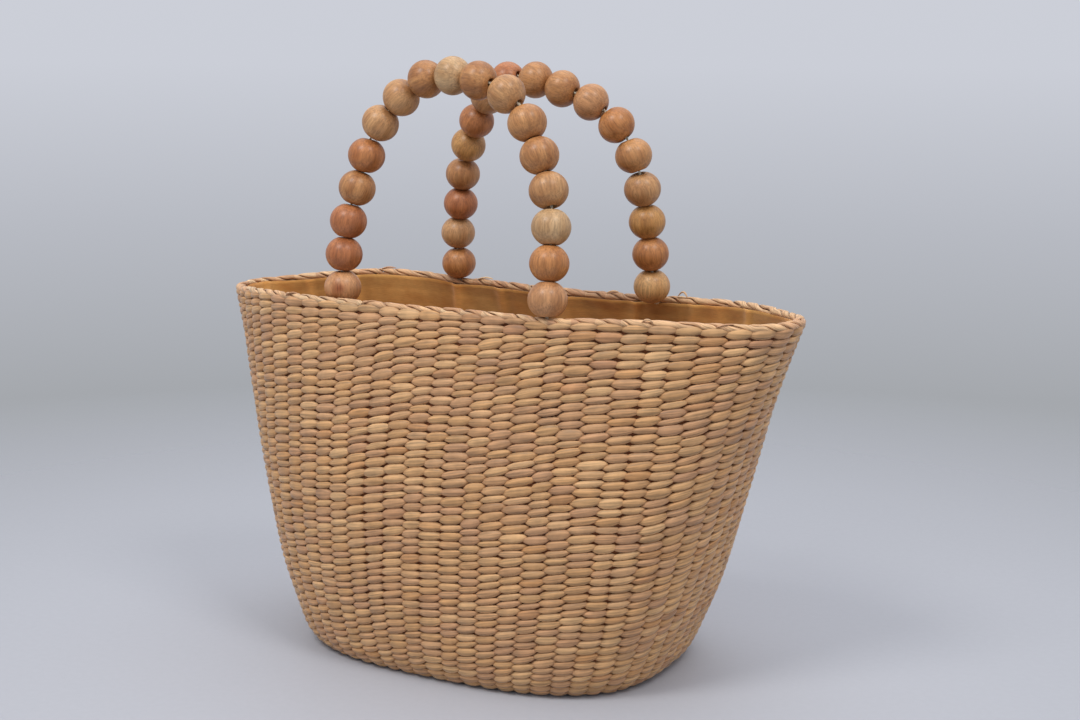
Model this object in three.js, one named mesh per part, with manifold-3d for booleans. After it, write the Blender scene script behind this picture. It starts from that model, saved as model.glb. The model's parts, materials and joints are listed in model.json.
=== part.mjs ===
// A soft straw basket bag: a woven body with a braided edge, a cotton lining, and two handles made of wooden
// beads on a thread. Millimetres, +Z up. X runs along the bag, -Y is its front, and the origin is the middle
// of the flat underside that the bag stands on.
import * as THREE from 'three';
import { mergeVertices } from 'three/addons/utils/BufferGeometryUtils.js';
import Module from 'manifold-3d';

const wasm = await Module();
wasm.setup();

// Driving sizes of the body
const BAG_HEIGHT = 195.5; // underside to the top of the braided edge
const MOUTH_LENGTH = 338; // outside to outside, at the edge
const BELLY_DEPTH = 164; // outside to outside, where the belly is fullest
const BASE_ROUND_IN = 6; // how far the lowest edge rounds in
const BASE_ROUND_UP = 12; // how high that rounding reaches
const WALL = 4.5; // straw wall
const FLOOR = 5; // straw floor
const LINING = 1.2; // cotton lining
const EDGE_HEIGHT = 4.5; // braided edge
const CLEARANCE = 0.3; // gap between pieces that touch on the real bag

// Driving sizes of the handles
const BEAD_DIAMETER = 20;
const BEAD_LENGTH = 17.3; // along the thread
const BEAD_FLAT = 7.4; // diameter of the flat at each end
const BEAD_BORE = 4.8;
const THREAD_DIAMETER = 1.8;
const BEADS_PER_HANDLE = 17;
const HANDLE_RISE = 120; // from a leg's start to the top of the string
const SEAT_DIP = 3.5; // how far a leg that stands on the edge presses it down
const SEAT_DIP_WIDTH = 44; // length of edge that is pressed down
const SEAT_DIP_REACH = 18; // how far down the wall that is felt

// How finely the faceted solids are cut
const AROUND = 56;
const ROUND_STEPS = 2;
const BEAD_SIDES = 12;
const BEAD_ARC_STEPS = 4;
const THREAD_SIDES = 6;
const THREAD_STEP = 6.5; // length of one straight piece of thread
const DRILL_SIDES = 8;
const OUTLINE_STEPS = 720;
const ROUTE_STEPS = 900;
const SPACING_ROUNDS = 6;

// The wall's outline at each height: heights are shares of the bag's height, lengths of its mouth length and
// depths of its belly depth, and the squareness fills the corners
const SECTIONS = [
  { height: 0, length: 0.624, depth: 0.914, squareness: 2.8 },
  { height: 0.1, length: 0.676, depth: 0.969, squareness: 2.75 },
  { height: 0.25, length: 0.747, depth: 1, squareness: 2.7 },
  { height: 0.5, length: 0.835, depth: 0.976, squareness: 2.6 },
  { height: 0.75, length: 0.918, depth: 0.878, squareness: 2.55 },
  { height: 1, length: 1, depth: 0.767, squareness: 2.5 },
];

// Soft waves of the mouth: how many crests go round, how far they lift the edge as a share of the height, how
// far they push it out as a share of the mouth length, and the angle of a crest in degrees
const WAVES_START = 0.6; // share of the height above which the waves grow
const WAVES = [
  { count: 1, lift: 0.004, liftCrest: 162, push: 0, pushCrest: 0 },
  { count: 2, lift: 0.009, liftCrest: 105, push: 0.0014, pushCrest: -22 },
  { count: 3, lift: 0.006, liftCrest: 12, push: 0, pushCrest: 0 },
  { count: 4, lift: 0.0065, liftCrest: 42, push: 0.0053, pushCrest: 15 },
  { count: 6, lift: 0, liftCrest: 0, push: 0.0125, pushCrest: -3 },
];

// Heights of the wall's rings, as shares of the bag's height
const WALL_LEVELS = [0.17, 0.36, 0.6, 0.84];

// Cross-section of the braided edge, as shares of its width and height
const EDGE_SECTION = [
  { across: 0, up: 0 },
  { across: 0, up: 0.65 },
  { across: 0.3, up: 1 },
  { across: 0.7, up: 1 },
  { across: 1, up: 0.65 },
  { across: 1, up: 0 },
];

// The four legs: place is the share of the girth from the middle of the front, counted towards +X. The string
// of beads starts at that inset from the outside and that rise over the edge. A leg either stands on the edge
// or starts inside the mouth, and drop is how far under the edge's top its thread ends in the wall. Inset, rise
// and drop are in bead diameters
const LEGS = {
  frontLeft: { place: -0.0924, inset: 0.78, rise: -0.3, drop: 0.95, onEdge: false },
  frontRight: { place: 0.0785, inset: 0.15, rise: 0.05, drop: 0.7, onEdge: true },
  backLeft: { place: 0.5762, inset: 0.15, rise: 0.05, drop: 0.7, onEdge: true },
  backRight: { place: 0.4092, inset: 0.7, rise: -0.15, drop: 0.8, onEdge: false },
};

// Each string's few chosen points between its two legs: along is the share of the way from the left leg to the
// right one, rise and lean are shares of the handle's rise above that line and towards the middle of the bag
const STRINGS = [
  {
    name: 'front',
    left: LEGS.frontLeft,
    right: LEGS.frontRight,
    inward: new THREE.Vector3(0, 1, 0),
    route: [
      { along: 0, rise: 0.154, lean: 0 },
      { along: 0.03, rise: 0.458, lean: 0.037 },
      { along: 0.07, rise: 0.588, lean: 0.067 },
      { along: 0.1, rise: 0.742, lean: 0.087 },
      { along: 0.18, rise: 0.858, lean: 0.113 },
      { along: 0.285, rise: 0.954, lean: 0.138 },
      { along: 0.295, rise: 1.008, lean: 0.138 },
      { along: 0.61, rise: 0.975, lean: 0.113 },
      { along: 0.7, rise: 0.954, lean: 0.108 },
      { along: 0.82, rise: 0.858, lean: 0.117 },
      { along: 0.88, rise: 0.721, lean: 0.108 },
      { along: 0.94, rise: 0.575, lean: 0.104 },
      { along: 0.98, rise: 0.438, lean: 0.075 },
      { along: 0.99, rise: 0.146, lean: 0.025 },
    ],
  },
  {
    name: 'back',
    left: LEGS.backLeft,
    right: LEGS.backRight,
    inward: new THREE.Vector3(0, -1, 0),
    route: [
      { along: -0.01, rise: 0.15, lean: 0.017 },
      { along: 0.04, rise: 0.442, lean: 0.05 },
      { along: 0.06, rise: 0.596, lean: 0.071 },
      { along: 0.14, rise: 0.721, lean: 0.117 },
      { along: 0.2, rise: 0.829, lean: 0.158 },
      { along: 0.31, rise: 0.954, lean: 0.196 },
      { along: 0.48, rise: 1, lean: 0.212 },
      { along: 0.6, rise: 0.954, lean: 0.204 },
      { along: 0.72, rise: 0.925, lean: 0.196 },
      { along: 0.84, rise: 0.854, lean: 0.167 },
      { along: 0.93, rise: 0.738, lean: 0.133 },
      { along: 0.98, rise: 0.592, lean: 0.108 },
      { along: 0.99, rise: 0.446, lean: 0.067 },
      { along: 1.01, rise: 0.146, lean: 0.025 },
    ],
  },
];

const COLOURS = { straw: 0xb3925f, edge: 0xc4a57c, cotton: 0xa5793c, wood: 0xc08a55, nylon: 0xe6e1d3 };

const UP = new THREE.Vector3(0, 0, 1);
const edgeWidth = WALL + CLEARANCE + LINING;
const wallTop = BAG_HEIGHT - EDGE_HEIGHT - CLEARANCE;
const liningOut = WALL + CLEARANCE;
const liningIn = liningOut + LINING;

// Smooth value of one column of the section table at a share of the height
function sectionValue(column, share) {
  const last = SECTIONS.length - 1;
  const found = SECTIONS.findIndex((row) => row.height >= share);
  const next = THREE.MathUtils.clamp(found < 0 ? last : found, 1, last);
  const slope = (index) => {
    const low = SECTIONS[Math.max(index - 1, 0)];
    const high = SECTIONS[Math.min(index + 1, last)];
    return (high[column] - low[column]) / (high.height - low.height);
  };
  const from = SECTIONS[next - 1];
  const to = SECTIONS[next];
  const span = to.height - from.height;
  const t = THREE.MathUtils.clamp((share - from.height) / span, 0, 1);
  const rise = t * t * (3 - 2 * t);
  const leave = t * (1 - t) * (1 - t) * span * slope(next - 1);
  const arrive = t * t * (t - 1) * span * slope(next);
  return from[column] + (to[column] - from[column]) * rise + leave + arrive;
}

// Sum of the mouth's waves in one column, at an angle round the bag in radians
function waveValue(column, angle) {
  return WAVES.reduce((sum, wave) => {
    const crest = THREE.MathUtils.degToRad(wave[`${column}Crest`]);
    return sum + wave[column] * Math.cos(wave.count * (angle - crest));
  }, 0);
}

// The outline at one height, as fine points from the middle of the front towards +X, each with its outward
// normal and the length of girth up to it
const outlines = new Map();
function outlineAt(height) {
  if (outlines.has(height)) return outlines.get(height);
  const share = height / BAG_HEIGHT;
  const halfLength = (sectionValue('length', share) * MOUTH_LENGTH) / 2;
  const halfDepth = (sectionValue('depth', share) * BELLY_DEPTH) / 2;
  const power = sectionValue('squareness', share);
  const grown = THREE.MathUtils.clamp((share - WAVES_START) / (1 - WAVES_START), 0, 1) ** 2;
  const fine = [];
  for (let step = 0; step <= OUTLINE_STEPS; step += 1) {
    const angle = (2 * Math.PI * step) / OUTLINE_STEPS - Math.PI / 2;
    const cos = Math.cos(angle);
    const sin = Math.sin(angle);
    const x = halfLength * Math.sign(cos) * Math.abs(cos) ** (2 / power);
    const y = halfDepth * Math.sign(sin) * Math.abs(sin) ** (2 / power);
    const normalX = (Math.sign(x) * Math.abs(x / halfLength) ** (power - 1)) / halfLength;
    const normalY = (Math.sign(y) * Math.abs(y / halfDepth) ** (power - 1)) / halfDepth;
    const push = grown * waveValue('push', angle) * MOUTH_LENGTH;
    const lift = grown * waveValue('lift', angle) * BAG_HEIGHT;
    const point = new THREE.Vector3(x, y, 0);
    point.setLength(point.length() + push);
    point.z = height + lift;
    fine.push({ point, normal: new THREE.Vector3(normalX, normalY, 0).normalize(), girth: 0 });
  }
  for (let step = 1; step < fine.length; step += 1) {
    const stretch = fine[step].point.distanceTo(fine[step - 1].point);
    fine[step].girth = fine[step - 1].girth + stretch;
  }
  outlines.set(height, fine);
  return fine;
}

// How far a leg that stands on the edge presses it down there
function seatDip(place, height) {
  const felt = THREE.MathUtils.clamp(1 - (BAG_HEIGHT - height) / SEAT_DIP_REACH, 0, 1);
  const girth = outlineAt(BAG_HEIGHT).at(-1).girth;
  return Object.values(LEGS).filter((leg) => leg.onEdge).reduce((sum, leg) => {
    const turn = THREE.MathUtils.euclideanModulo(place - leg.place + 0.5, 1) - 0.5;
    const near = Math.min(Math.abs(turn * girth) / (SEAT_DIP_WIDTH / 2), 1);
    return sum + felt * SEAT_DIP * (0.5 + 0.5 * Math.cos(Math.PI * near));
  }, 0);
}

// A point of the wall at a share of the girth, a height, and a distance in from the outside
function wallPoint(place, height, inset) {
  const fine = outlineAt(height);
  const wanted = THREE.MathUtils.euclideanModulo(place, 1) * fine.at(-1).girth;
  const next = Math.max(fine.findIndex((entry) => entry.girth >= wanted), 1);
  const from = fine[next - 1];
  const to = fine[next];
  const t = (wanted - from.girth) / (to.girth - from.girth);
  const normal = from.normal.clone().lerp(to.normal, t).normalize();
  const point = from.point.clone().lerp(to.point, t).addScaledVector(normal, -inset);
  point.z -= seatDip(place, height);
  return point;
}

// A closed mesh as a solid that can be cut
function toSolid(geometry) {
  const bare = geometry.clone();
  bare.deleteAttribute('normal');
  bare.deleteAttribute('uv');
  const merged = mergeVertices(bare, 1e-4);
  const corners = merged.index.array;
  const kept = [];
  for (let at = 0; at < corners.length; at += 3) {
    const [a, b, c] = corners.slice(at, at + 3);
    if (a !== b && b !== c && c !== a) kept.push(a, b, c);
  }
  const vertProperties = new Float32Array(merged.attributes.position.array);
  const triVerts = new Uint32Array(kept);
  return new wasm.Manifold(new wasm.Mesh({ numProp: 3, vertProperties, triVerts }));
}

// A solid as a geometry for display
function toGeometry(solid) {
  const { vertProperties, triVerts } = solid.getMesh();
  const geometry = new THREE.BufferGeometry();
  geometry.setAttribute('position', new THREE.BufferAttribute(new Float32Array(vertProperties), 3));
  geometry.setIndex(new THREE.BufferAttribute(new Uint32Array(triVerts), 1));
  geometry.computeVertexNormals();
  return geometry;
}

// A lathed profile whose rows are laid round the bag's outline in place of a circle
function wrapRound(rows) {
  const profile = rows.map((row) => new THREE.Vector2(row.pole ? 0 : BELLY_DEPTH / 2, row.height));
  const lathe = new THREE.LatheGeometry(profile, AROUND);
  for (let column = 0; column <= AROUND; column += 1) {
    const place = (column % AROUND) / AROUND;
    rows.forEach((row, index) => {
      const pole = new THREE.Vector3(0, 0, row.height);
      const point = row.pole ? pole : wallPoint(place, row.height, row.inset);
      lathe.attributes.position.setXYZ(column * rows.length + index, point.x, point.y, point.z);
    });
  }
  return toSolid(lathe);
}

// Rows of a rounded bottom corner, from its flat up to the wall
function roundedCorner(floorHeight, inset) {
  return Array.from({ length: ROUND_STEPS + 1 }, (unused, step) => {
    const angle = (step / ROUND_STEPS) * (Math.PI / 2);
    return {
      height: floorHeight + BASE_ROUND_UP * (1 - Math.cos(angle)),
      inset: inset + BASE_ROUND_IN * (1 - Math.sin(angle)),
    };
  });
}

// All that lies inside one skin of the bag. A skin that is only cut away runs on up through the open top
function insideSkin(floorHeight, inset, isCutAway) {
  const levels = WALL_LEVELS.map((share) => ({ height: share * BAG_HEIGHT, inset }));
  const lid = isCutAway ? { height: BAG_HEIGHT, inset } : { height: wallTop, inset: inset + 2 * edgeWidth };
  return wrapRound([
    { pole: true, height: floorHeight },
    ...roundedCorner(floorHeight, inset),
    ...levels,
    { height: wallTop, inset },
    lid,
    { pole: true, height: isCutAway ? BAG_HEIGHT + EDGE_HEIGHT : wallTop },
  ]);
}

function buildBody() {
  return insideSkin(0, 0, false).subtract(insideSkin(FLOOR, WALL, true));
}

function buildLining() {
  const floorHeight = FLOOR + CLEARANCE;
  const outside = insideSkin(floorHeight, liningOut, false);
  return outside.subtract(insideSkin(floorHeight + LINING, liningIn, true));
}

function buildEdge() {
  const rows = EDGE_SECTION.map((corner) => ({
    height: BAG_HEIGHT - EDGE_HEIGHT * (1 - corner.up),
    inset: edgeWidth * corner.across,
  }));
  return wrapRound([rows.at(-1), ...rows.slice(0, -1), rows.at(-1)]);
}

// A point at a leg's place on the faceted wall, so between two of its columns
function legPoint(leg, height, inset) {
  const column = leg.place * AROUND;
  const before = wallPoint(Math.floor(column) / AROUND, height, inset);
  const after = wallPoint(Math.ceil(column) / AROUND, height, inset);
  return before.lerp(after, column - Math.floor(column));
}

// Where a leg's string of beads starts, and where its thread ends inside the wall
function legStart(leg) {
  const start = legPoint(leg, BAG_HEIGHT, leg.inset * BEAD_DIAMETER);
  return start.addScaledVector(UP, leg.rise * BEAD_DIAMETER);
}

function legAnchor(leg) {
  return legPoint(leg, BAG_HEIGHT - leg.drop * BEAD_DIAMETER, WALL / 2);
}

// The curve that one string of beads follows, from its left leg to its right leg
function stringCurve(string) {
  const from = legStart(string.left);
  const span = legStart(string.right).sub(from);
  const between = string.route.map((row) => {
    const point = from.clone().addScaledVector(span, row.along);
    point.addScaledVector(UP, row.rise * HANDLE_RISE);
    return point.addScaledVector(string.inward, row.lean * HANDLE_RISE);
  });
  const curve = new THREE.CatmullRomCurve3([from, ...between, from.clone().add(span)]);
  curve.arcLengthDivisions = ROUTE_STEPS;
  return curve;
}

// The stretch of the string that each bead takes: all alike, and longer where the string turns, so that the
// flats of two neighbours just clear each other. Before and after are what the turns add at its two ends
function beadSpans(curve) {
  const total = curve.getLength();
  let stretches = Array.from({ length: BEADS_PER_HANDLE }, () => total / BEADS_PER_HANDLE);
  let spans = [];
  for (let round = 0; round < SPACING_ROUNDS; round += 1) {
    let walked = 0;
    const ends = stretches.map((stretch) => {
      walked += stretch;
      return curve.getPointAt(Math.min(walked / total, 1));
    });
    const starts = [curve.getPointAt(0), ...ends.slice(0, -1)];
    const chords = ends.map((end, index) => end.clone().sub(starts[index]));
    const turns = chords.slice(1).map((chord, index) => chord.angleTo(chords[index]));
    const setBacks = [0, ...turns, 0].map((turn) => (BEAD_FLAT / 2) * Math.tan(turn / 2));
    spans = chords.map((chord, index) => ({
      from: starts[index],
      to: ends[index],
      before: setBacks[index],
      after: setBacks[index + 1],
      ratio: stretches[index] / chord.length(),
    }));
    const turning = spans.reduce((sum, span) => sum + (span.before + span.after) * span.ratio, 0);
    const pitch = (total - turning) / spans.reduce((sum, span) => sum + span.ratio, 0);
    stretches = spans.map((span) => (pitch + span.before + span.after) * span.ratio);
  }
  return spans;
}

// One bead along +Z: a drilled ball, a little shorter than wide, with a small flat at each end
function beadGeometry() {
  const flat = Math.acos(BEAD_FLAT / BEAD_DIAMETER);
  const halfAxis = BEAD_LENGTH / 2 / Math.sin(flat);
  const arc = Array.from({ length: BEAD_ARC_STEPS + 1 }, (unused, step) => {
    const angle = flat * ((2 * step) / BEAD_ARC_STEPS - 1);
    return new THREE.Vector2((BEAD_DIAMETER / 2) * Math.cos(angle), halfAxis * Math.sin(angle));
  });
  const bore = [BEAD_LENGTH / 2, -BEAD_LENGTH / 2].map((end) => new THREE.Vector2(BEAD_BORE / 2, end));
  return new THREE.LatheGeometry([bore[1], ...arc, ...bore], BEAD_SIDES).rotateX(Math.PI / 2);
}

function buildBead(span) {
  const axis = span.to.clone().sub(span.from);
  const share = 0.5 + (span.before - span.after) / (2 * axis.length());
  const middle = span.from.clone().lerp(span.to, share);
  const turn = new THREE.Quaternion().setFromUnitVectors(UP, axis.normalize());
  const place = new THREE.Matrix4().compose(middle, turn, new THREE.Vector3(1, 1, 1));
  return toSolid(beadGeometry().applyMatrix4(place));
}

// The thread of one string: from its end in the wall, through every bead, to its end in the other wall
function buildThread(string, spans) {
  const joints = [spans[0].from, ...spans.map((span) => span.to)];
  const path = new THREE.CurvePath();
  path.add(new THREE.LineCurve3(legAnchor(string.left), joints[0]));
  path.add(new THREE.CatmullRomCurve3(joints));
  path.add(new THREE.LineCurve3(joints.at(-1), legAnchor(string.right)));
  const outline = Array.from({ length: THREAD_SIDES }, (unused, side) => {
    const angle = (2 * Math.PI * side) / THREAD_SIDES;
    return new THREE.Vector2(Math.cos(angle), Math.sin(angle)).multiplyScalar(THREAD_DIAMETER / 2);
  });
  const steps = Math.round(path.getLength() / THREAD_STEP);
  const options = { steps, bevelEnabled: false, extrudePath: path };
  return toSolid(new THREE.ExtrudeGeometry(new THREE.Shape(outline), options));
}

// The hole that a leg's thread passes through, a clearance wider and longer than the thread
function drillHole(leg) {
  const bottom = legAnchor(leg);
  const away = legStart(leg).sub(bottom);
  const reach = away.length();
  away.normalize();
  const radius = THREAD_DIAMETER / 2 + CLEARANCE;
  const drill = new THREE.CylinderGeometry(radius, radius, reach + 2 * CLEARANCE, DRILL_SIDES);
  drill.rotateX(Math.PI / 2);
  drill.applyQuaternion(new THREE.Quaternion().setFromUnitVectors(UP, away));
  const middle = bottom.addScaledVector(away, reach / 2);
  return toSolid(drill.translate(middle.x, middle.y, middle.z));
}

const group = new THREE.Group();
group.name = 'straw_basket_bag';

function addMesh(name, solid, color, roughness) {
  const material = new THREE.MeshStandardMaterial({ color, roughness, metalness: 0 });
  const mesh = new THREE.Mesh(toGeometry(solid), material);
  mesh.name = name;
  group.add(mesh);
}

const drills = Object.values(LEGS).map(drillHole);
const drilled = (solid) => drills.reduce((rest, drill) => rest.subtract(drill), solid);

addMesh('basket_body', drilled(buildBody()), COLOURS.straw, 0.85);
addMesh('rim_edge', drilled(buildEdge()), COLOURS.edge, 0.85);
addMesh('lining', drilled(buildLining()), COLOURS.cotton, 0.9);
STRINGS.forEach((string) => {
  const spans = beadSpans(stringCurve(string));
  spans.forEach((span, index) => {
    const number = String(index + 1).padStart(2, '0');
    addMesh(`${string.name}_bead_${number}`, buildBead(span), COLOURS.wood, 0.4);
  });
  addMesh(`${string.name}_thread`, buildThread(string, spans), COLOURS.nylon, 0.5);
});

export default group;
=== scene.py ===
"""Looks of a soft straw basket bag with handles of wooden beads.

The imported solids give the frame. Every visible surface is made here: the woven wall of straw stitches, the
woven underside, the twisted edge, the cotton lining with its hem, the turned beads and the thread that runs
through them. Lengths are metres. X runs along the bag, -Y is its front and +Z is up.
"""

import json
import logging
import math
from collections.abc import Callable
from dataclasses import dataclass, field
from enum import Enum
from typing import ClassVar

import bpy
import numpy as np
from mathutils import Matrix, Vector

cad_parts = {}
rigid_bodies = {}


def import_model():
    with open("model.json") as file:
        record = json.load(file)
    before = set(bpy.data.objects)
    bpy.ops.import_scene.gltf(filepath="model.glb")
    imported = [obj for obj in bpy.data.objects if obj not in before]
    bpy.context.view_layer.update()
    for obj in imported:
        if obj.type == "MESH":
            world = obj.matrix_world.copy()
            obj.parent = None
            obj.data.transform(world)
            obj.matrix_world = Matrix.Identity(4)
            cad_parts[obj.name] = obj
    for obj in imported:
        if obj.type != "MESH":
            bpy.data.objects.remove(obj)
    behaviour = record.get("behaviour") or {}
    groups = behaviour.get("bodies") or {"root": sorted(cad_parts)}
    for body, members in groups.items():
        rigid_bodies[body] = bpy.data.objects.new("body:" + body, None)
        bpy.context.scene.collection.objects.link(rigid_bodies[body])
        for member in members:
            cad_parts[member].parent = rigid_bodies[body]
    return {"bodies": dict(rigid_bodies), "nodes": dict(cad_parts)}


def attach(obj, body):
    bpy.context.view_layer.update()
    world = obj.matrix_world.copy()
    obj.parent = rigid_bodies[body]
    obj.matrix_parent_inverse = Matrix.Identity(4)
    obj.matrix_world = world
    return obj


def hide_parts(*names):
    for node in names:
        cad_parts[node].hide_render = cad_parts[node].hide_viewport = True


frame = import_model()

logging.basicConfig(level=logging.INFO, format="%(message)s")
LOG = logging.getLogger("basket")

MM = 0.001
ROOT = next(iter(frame["bodies"]))

Array = np.ndarray
Rgb = tuple[float, float, float]
Point = tuple[float, float, float]
Socket = bpy.types.NodeSocket
Input = Socket | float | tuple[float, ...]
Ripple = Callable[[Array, Array], Array]
Lay = Callable[[Array, Array, Array, Array, Array], Array]


class Slot(Enum):
    """Material slots of the record that go with the new pieces."""

    STRAW = "straw"
    EDGE = "edge_straw"
    COTTON = "cotton"
    WOOD = "bead_wood"
    NYLON = "nylon"


def colour(red: float, green: float, blue: float) -> tuple[float, float, float, float]:
    """Turns a screen colour into the linear colour that a shader takes.

    Args:
        red: Red from 0 to 255.
        green: Green from 0 to 255.
        blue: Blue from 0 to 255.

    Returns:
        Linear red, green and blue, and an alpha of one.
    """
    screen = np.array([red, green, blue]) / 255
    low = screen / 12.92
    high = ((screen + 0.055) / 1.055) ** 2.4
    linear = np.where(screen <= 0.04045, low, high)
    return (*linear.tolist(), 1.0)


def unit(vectors: Array) -> Array:
    """Scales each vector along the last axis to length one."""
    return vectors / np.maximum(np.linalg.norm(vectors, axis=-1, keepdims=True), 1e-12)


def signed_power(values: Array, power: float) -> Array:
    """Raises the size of each value to a power and keeps its sign."""
    return np.sign(values) * np.abs(values) ** power


def bell(offset: Array) -> Array:
    """Bell curve: one at zero, and close to zero from two on."""
    return np.exp(-(offset**2))


def ring_angles(count: int) -> Array:
    """Angles of points spaced evenly round one turn."""
    return np.linspace(0, 2 * np.pi, count, endpoint=False)


def circling(first: Array, second: Array, angle: Array) -> Array:
    """Directions at each angle from the first axis towards the second."""
    return first * np.cos(angle)[..., None] + second * np.sin(angle)[..., None]


def strand_grid(along: Array, across: Array) -> Array:
    """Strand coordinates of a grid of points, from one value for each row and one for each column."""
    return np.stack(np.broadcast_arrays(along[:, None], across[None, :]), -1).reshape(-1, 2)


def lengths_along(path: Array) -> Array:
    """Length from the start of a path to each of its points."""
    return np.concatenate([[0], np.cumsum(np.linalg.norm(np.diff(path, axis=0), axis=1))])


def points_along(path: Array, lengths: Array, at: Array) -> Array:
    """Reads a path at given lengths.

    Args:
        path: Points of the path.
        lengths: Length from the start to each of them.
        at: Lengths to read.

    Returns:
        One point for each length read.
    """
    return np.stack([np.interp(at, lengths, path[:, axis]) for axis in range(3)], -1)


def soft_noise(at: Array, seed: int, waves: int = 5) -> Array:
    """Smooth noise on a circle: a sum of sines with seeded phases.

    Args:
        at: Where to read it, as shares of one turn.
        seed: Seed of the phases.
        waves: How many sines are summed.

    Returns:
        Noise between about -1 and 1, in the shape of at.
    """
    dice = np.random.default_rng(seed)
    total = np.zeros_like(at)
    for count in range(1, waves + 1):
        turns = dice.integers(count * 2, count * 4 + 2)
        total = total + np.sin(2 * np.pi * (turns * at + dice.random())) / waves**0.5
    return total


@dataclass
class MeshData:
    """Arrays of a mesh before it goes to Blender: points, quads, triangles, and values for each point."""

    points: Array
    quads: Array = field(default_factory=lambda: np.zeros((0, 4), np.int32))
    triangles: Array = field(default_factory=lambda: np.zeros((0, 3), np.int32))
    uv: Array | None = None
    values: dict[str, Array] = field(default_factory=dict)

    def to_object(self, name: str) -> bpy.types.Object:
        """Puts the arrays into a new smooth mesh object at the origin.

        Args:
            name: Name of the object.

        Returns:
            The object, linked to the scene.
        """
        mesh = bpy.data.meshes.new(name)
        corners = np.concatenate([self.quads.ravel(), self.triangles.ravel()]).astype(np.int32)
        sizes = np.repeat([4, 3], [len(self.quads), len(self.triangles)]).astype(np.int32)
        starts = (np.cumsum(sizes) - sizes).astype(np.int32)
        mesh.vertices.add(len(self.points))
        mesh.vertices.foreach_set("co", self.points.astype(np.float32).ravel())
        mesh.loops.add(len(corners))
        mesh.loops.foreach_set("vertex_index", corners)
        mesh.polygons.add(len(sizes))
        mesh.polygons.foreach_set("loop_start", starts)
        mesh.polygons.foreach_set("loop_total", sizes)
        mesh.polygons.foreach_set("use_smooth", np.ones(len(sizes), bool))
        if self.uv is not None:
            layer = mesh.uv_layers.new(name="strand")
            layer.data.foreach_set("uv", self.uv[corners].astype(np.float32).ravel())
        for key, value in self.values.items():
            is_vector = value.ndim == 2
            attribute = mesh.attributes.new(key, "FLOAT_VECTOR" if is_vector else "FLOAT", "POINT")
            attribute.data.foreach_set("vector" if is_vector else "value", value.astype(np.float32).ravel())
        mesh.update(calc_edges=True)
        piece = bpy.data.objects.new(name, mesh)
        bpy.context.scene.collection.objects.link(piece)
        return piece


def grid_quads(rows: int, columns: int, wrap_rows: bool, wrap_columns: bool) -> Array:
    """Quads of a grid whose points are numbered row by row.

    Args:
        rows: Number of rows of points.
        columns: Number of points in a row.
        wrap_rows: Whether the last row joins the first.
        wrap_columns: Whether the last column joins the first.

    Returns:
        Corner indices, one row of four for each quad.
    """
    row = np.arange(rows if wrap_rows else rows - 1)[:, None]
    column = np.arange(columns if wrap_columns else columns - 1)[None, :]
    up = (row + 1) % rows
    right = (column + 1) % columns
    corners = [row * columns + column, row * columns + right, up * columns + right, up * columns + column]
    return np.stack(np.broadcast_arrays(*corners), -1).reshape(-1, 4)


def tip_fans(rings: int, sides: int) -> Array:
    """Triangles that close a tube at both ends, where each end has a point of its own.

    Args:
        rings: Number of rings, whose points are numbered first, ring by ring. The two tips follow them.
        sides: Number of points in a ring.

    Returns:
        Corner indices, one row of three for each triangle.
    """
    side = np.arange(sides)
    following = (side + 1) % sides
    last_ring = (rings - 1) * sides
    first_tip = np.full_like(side, rings * sides)
    start = np.stack([following, side, first_tip], -1)
    end = np.stack([last_ring + side, last_ring + following, first_tip + 1], -1)
    return np.concatenate([start, end])


def merged(parts: list[MeshData]) -> MeshData:
    """Joins several meshes into one.

    Args:
        parts: Meshes that hold the same values.

    Returns:
        The joined mesh.
    """
    offsets = np.cumsum([0] + [len(part.points) for part in parts[:-1]])
    return MeshData(
        points=np.concatenate([part.points for part in parts]),
        quads=np.concatenate([part.quads + offset for part, offset in zip(parts, offsets)]),
        triangles=np.concatenate([part.triangles + offset for part, offset in zip(parts, offsets)]),
        uv=None if parts[0].uv is None else np.concatenate([part.uv for part in parts]),
        values={key: np.concatenate([part.values[key] for part in parts]) for key in parts[0].values},
    )


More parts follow.
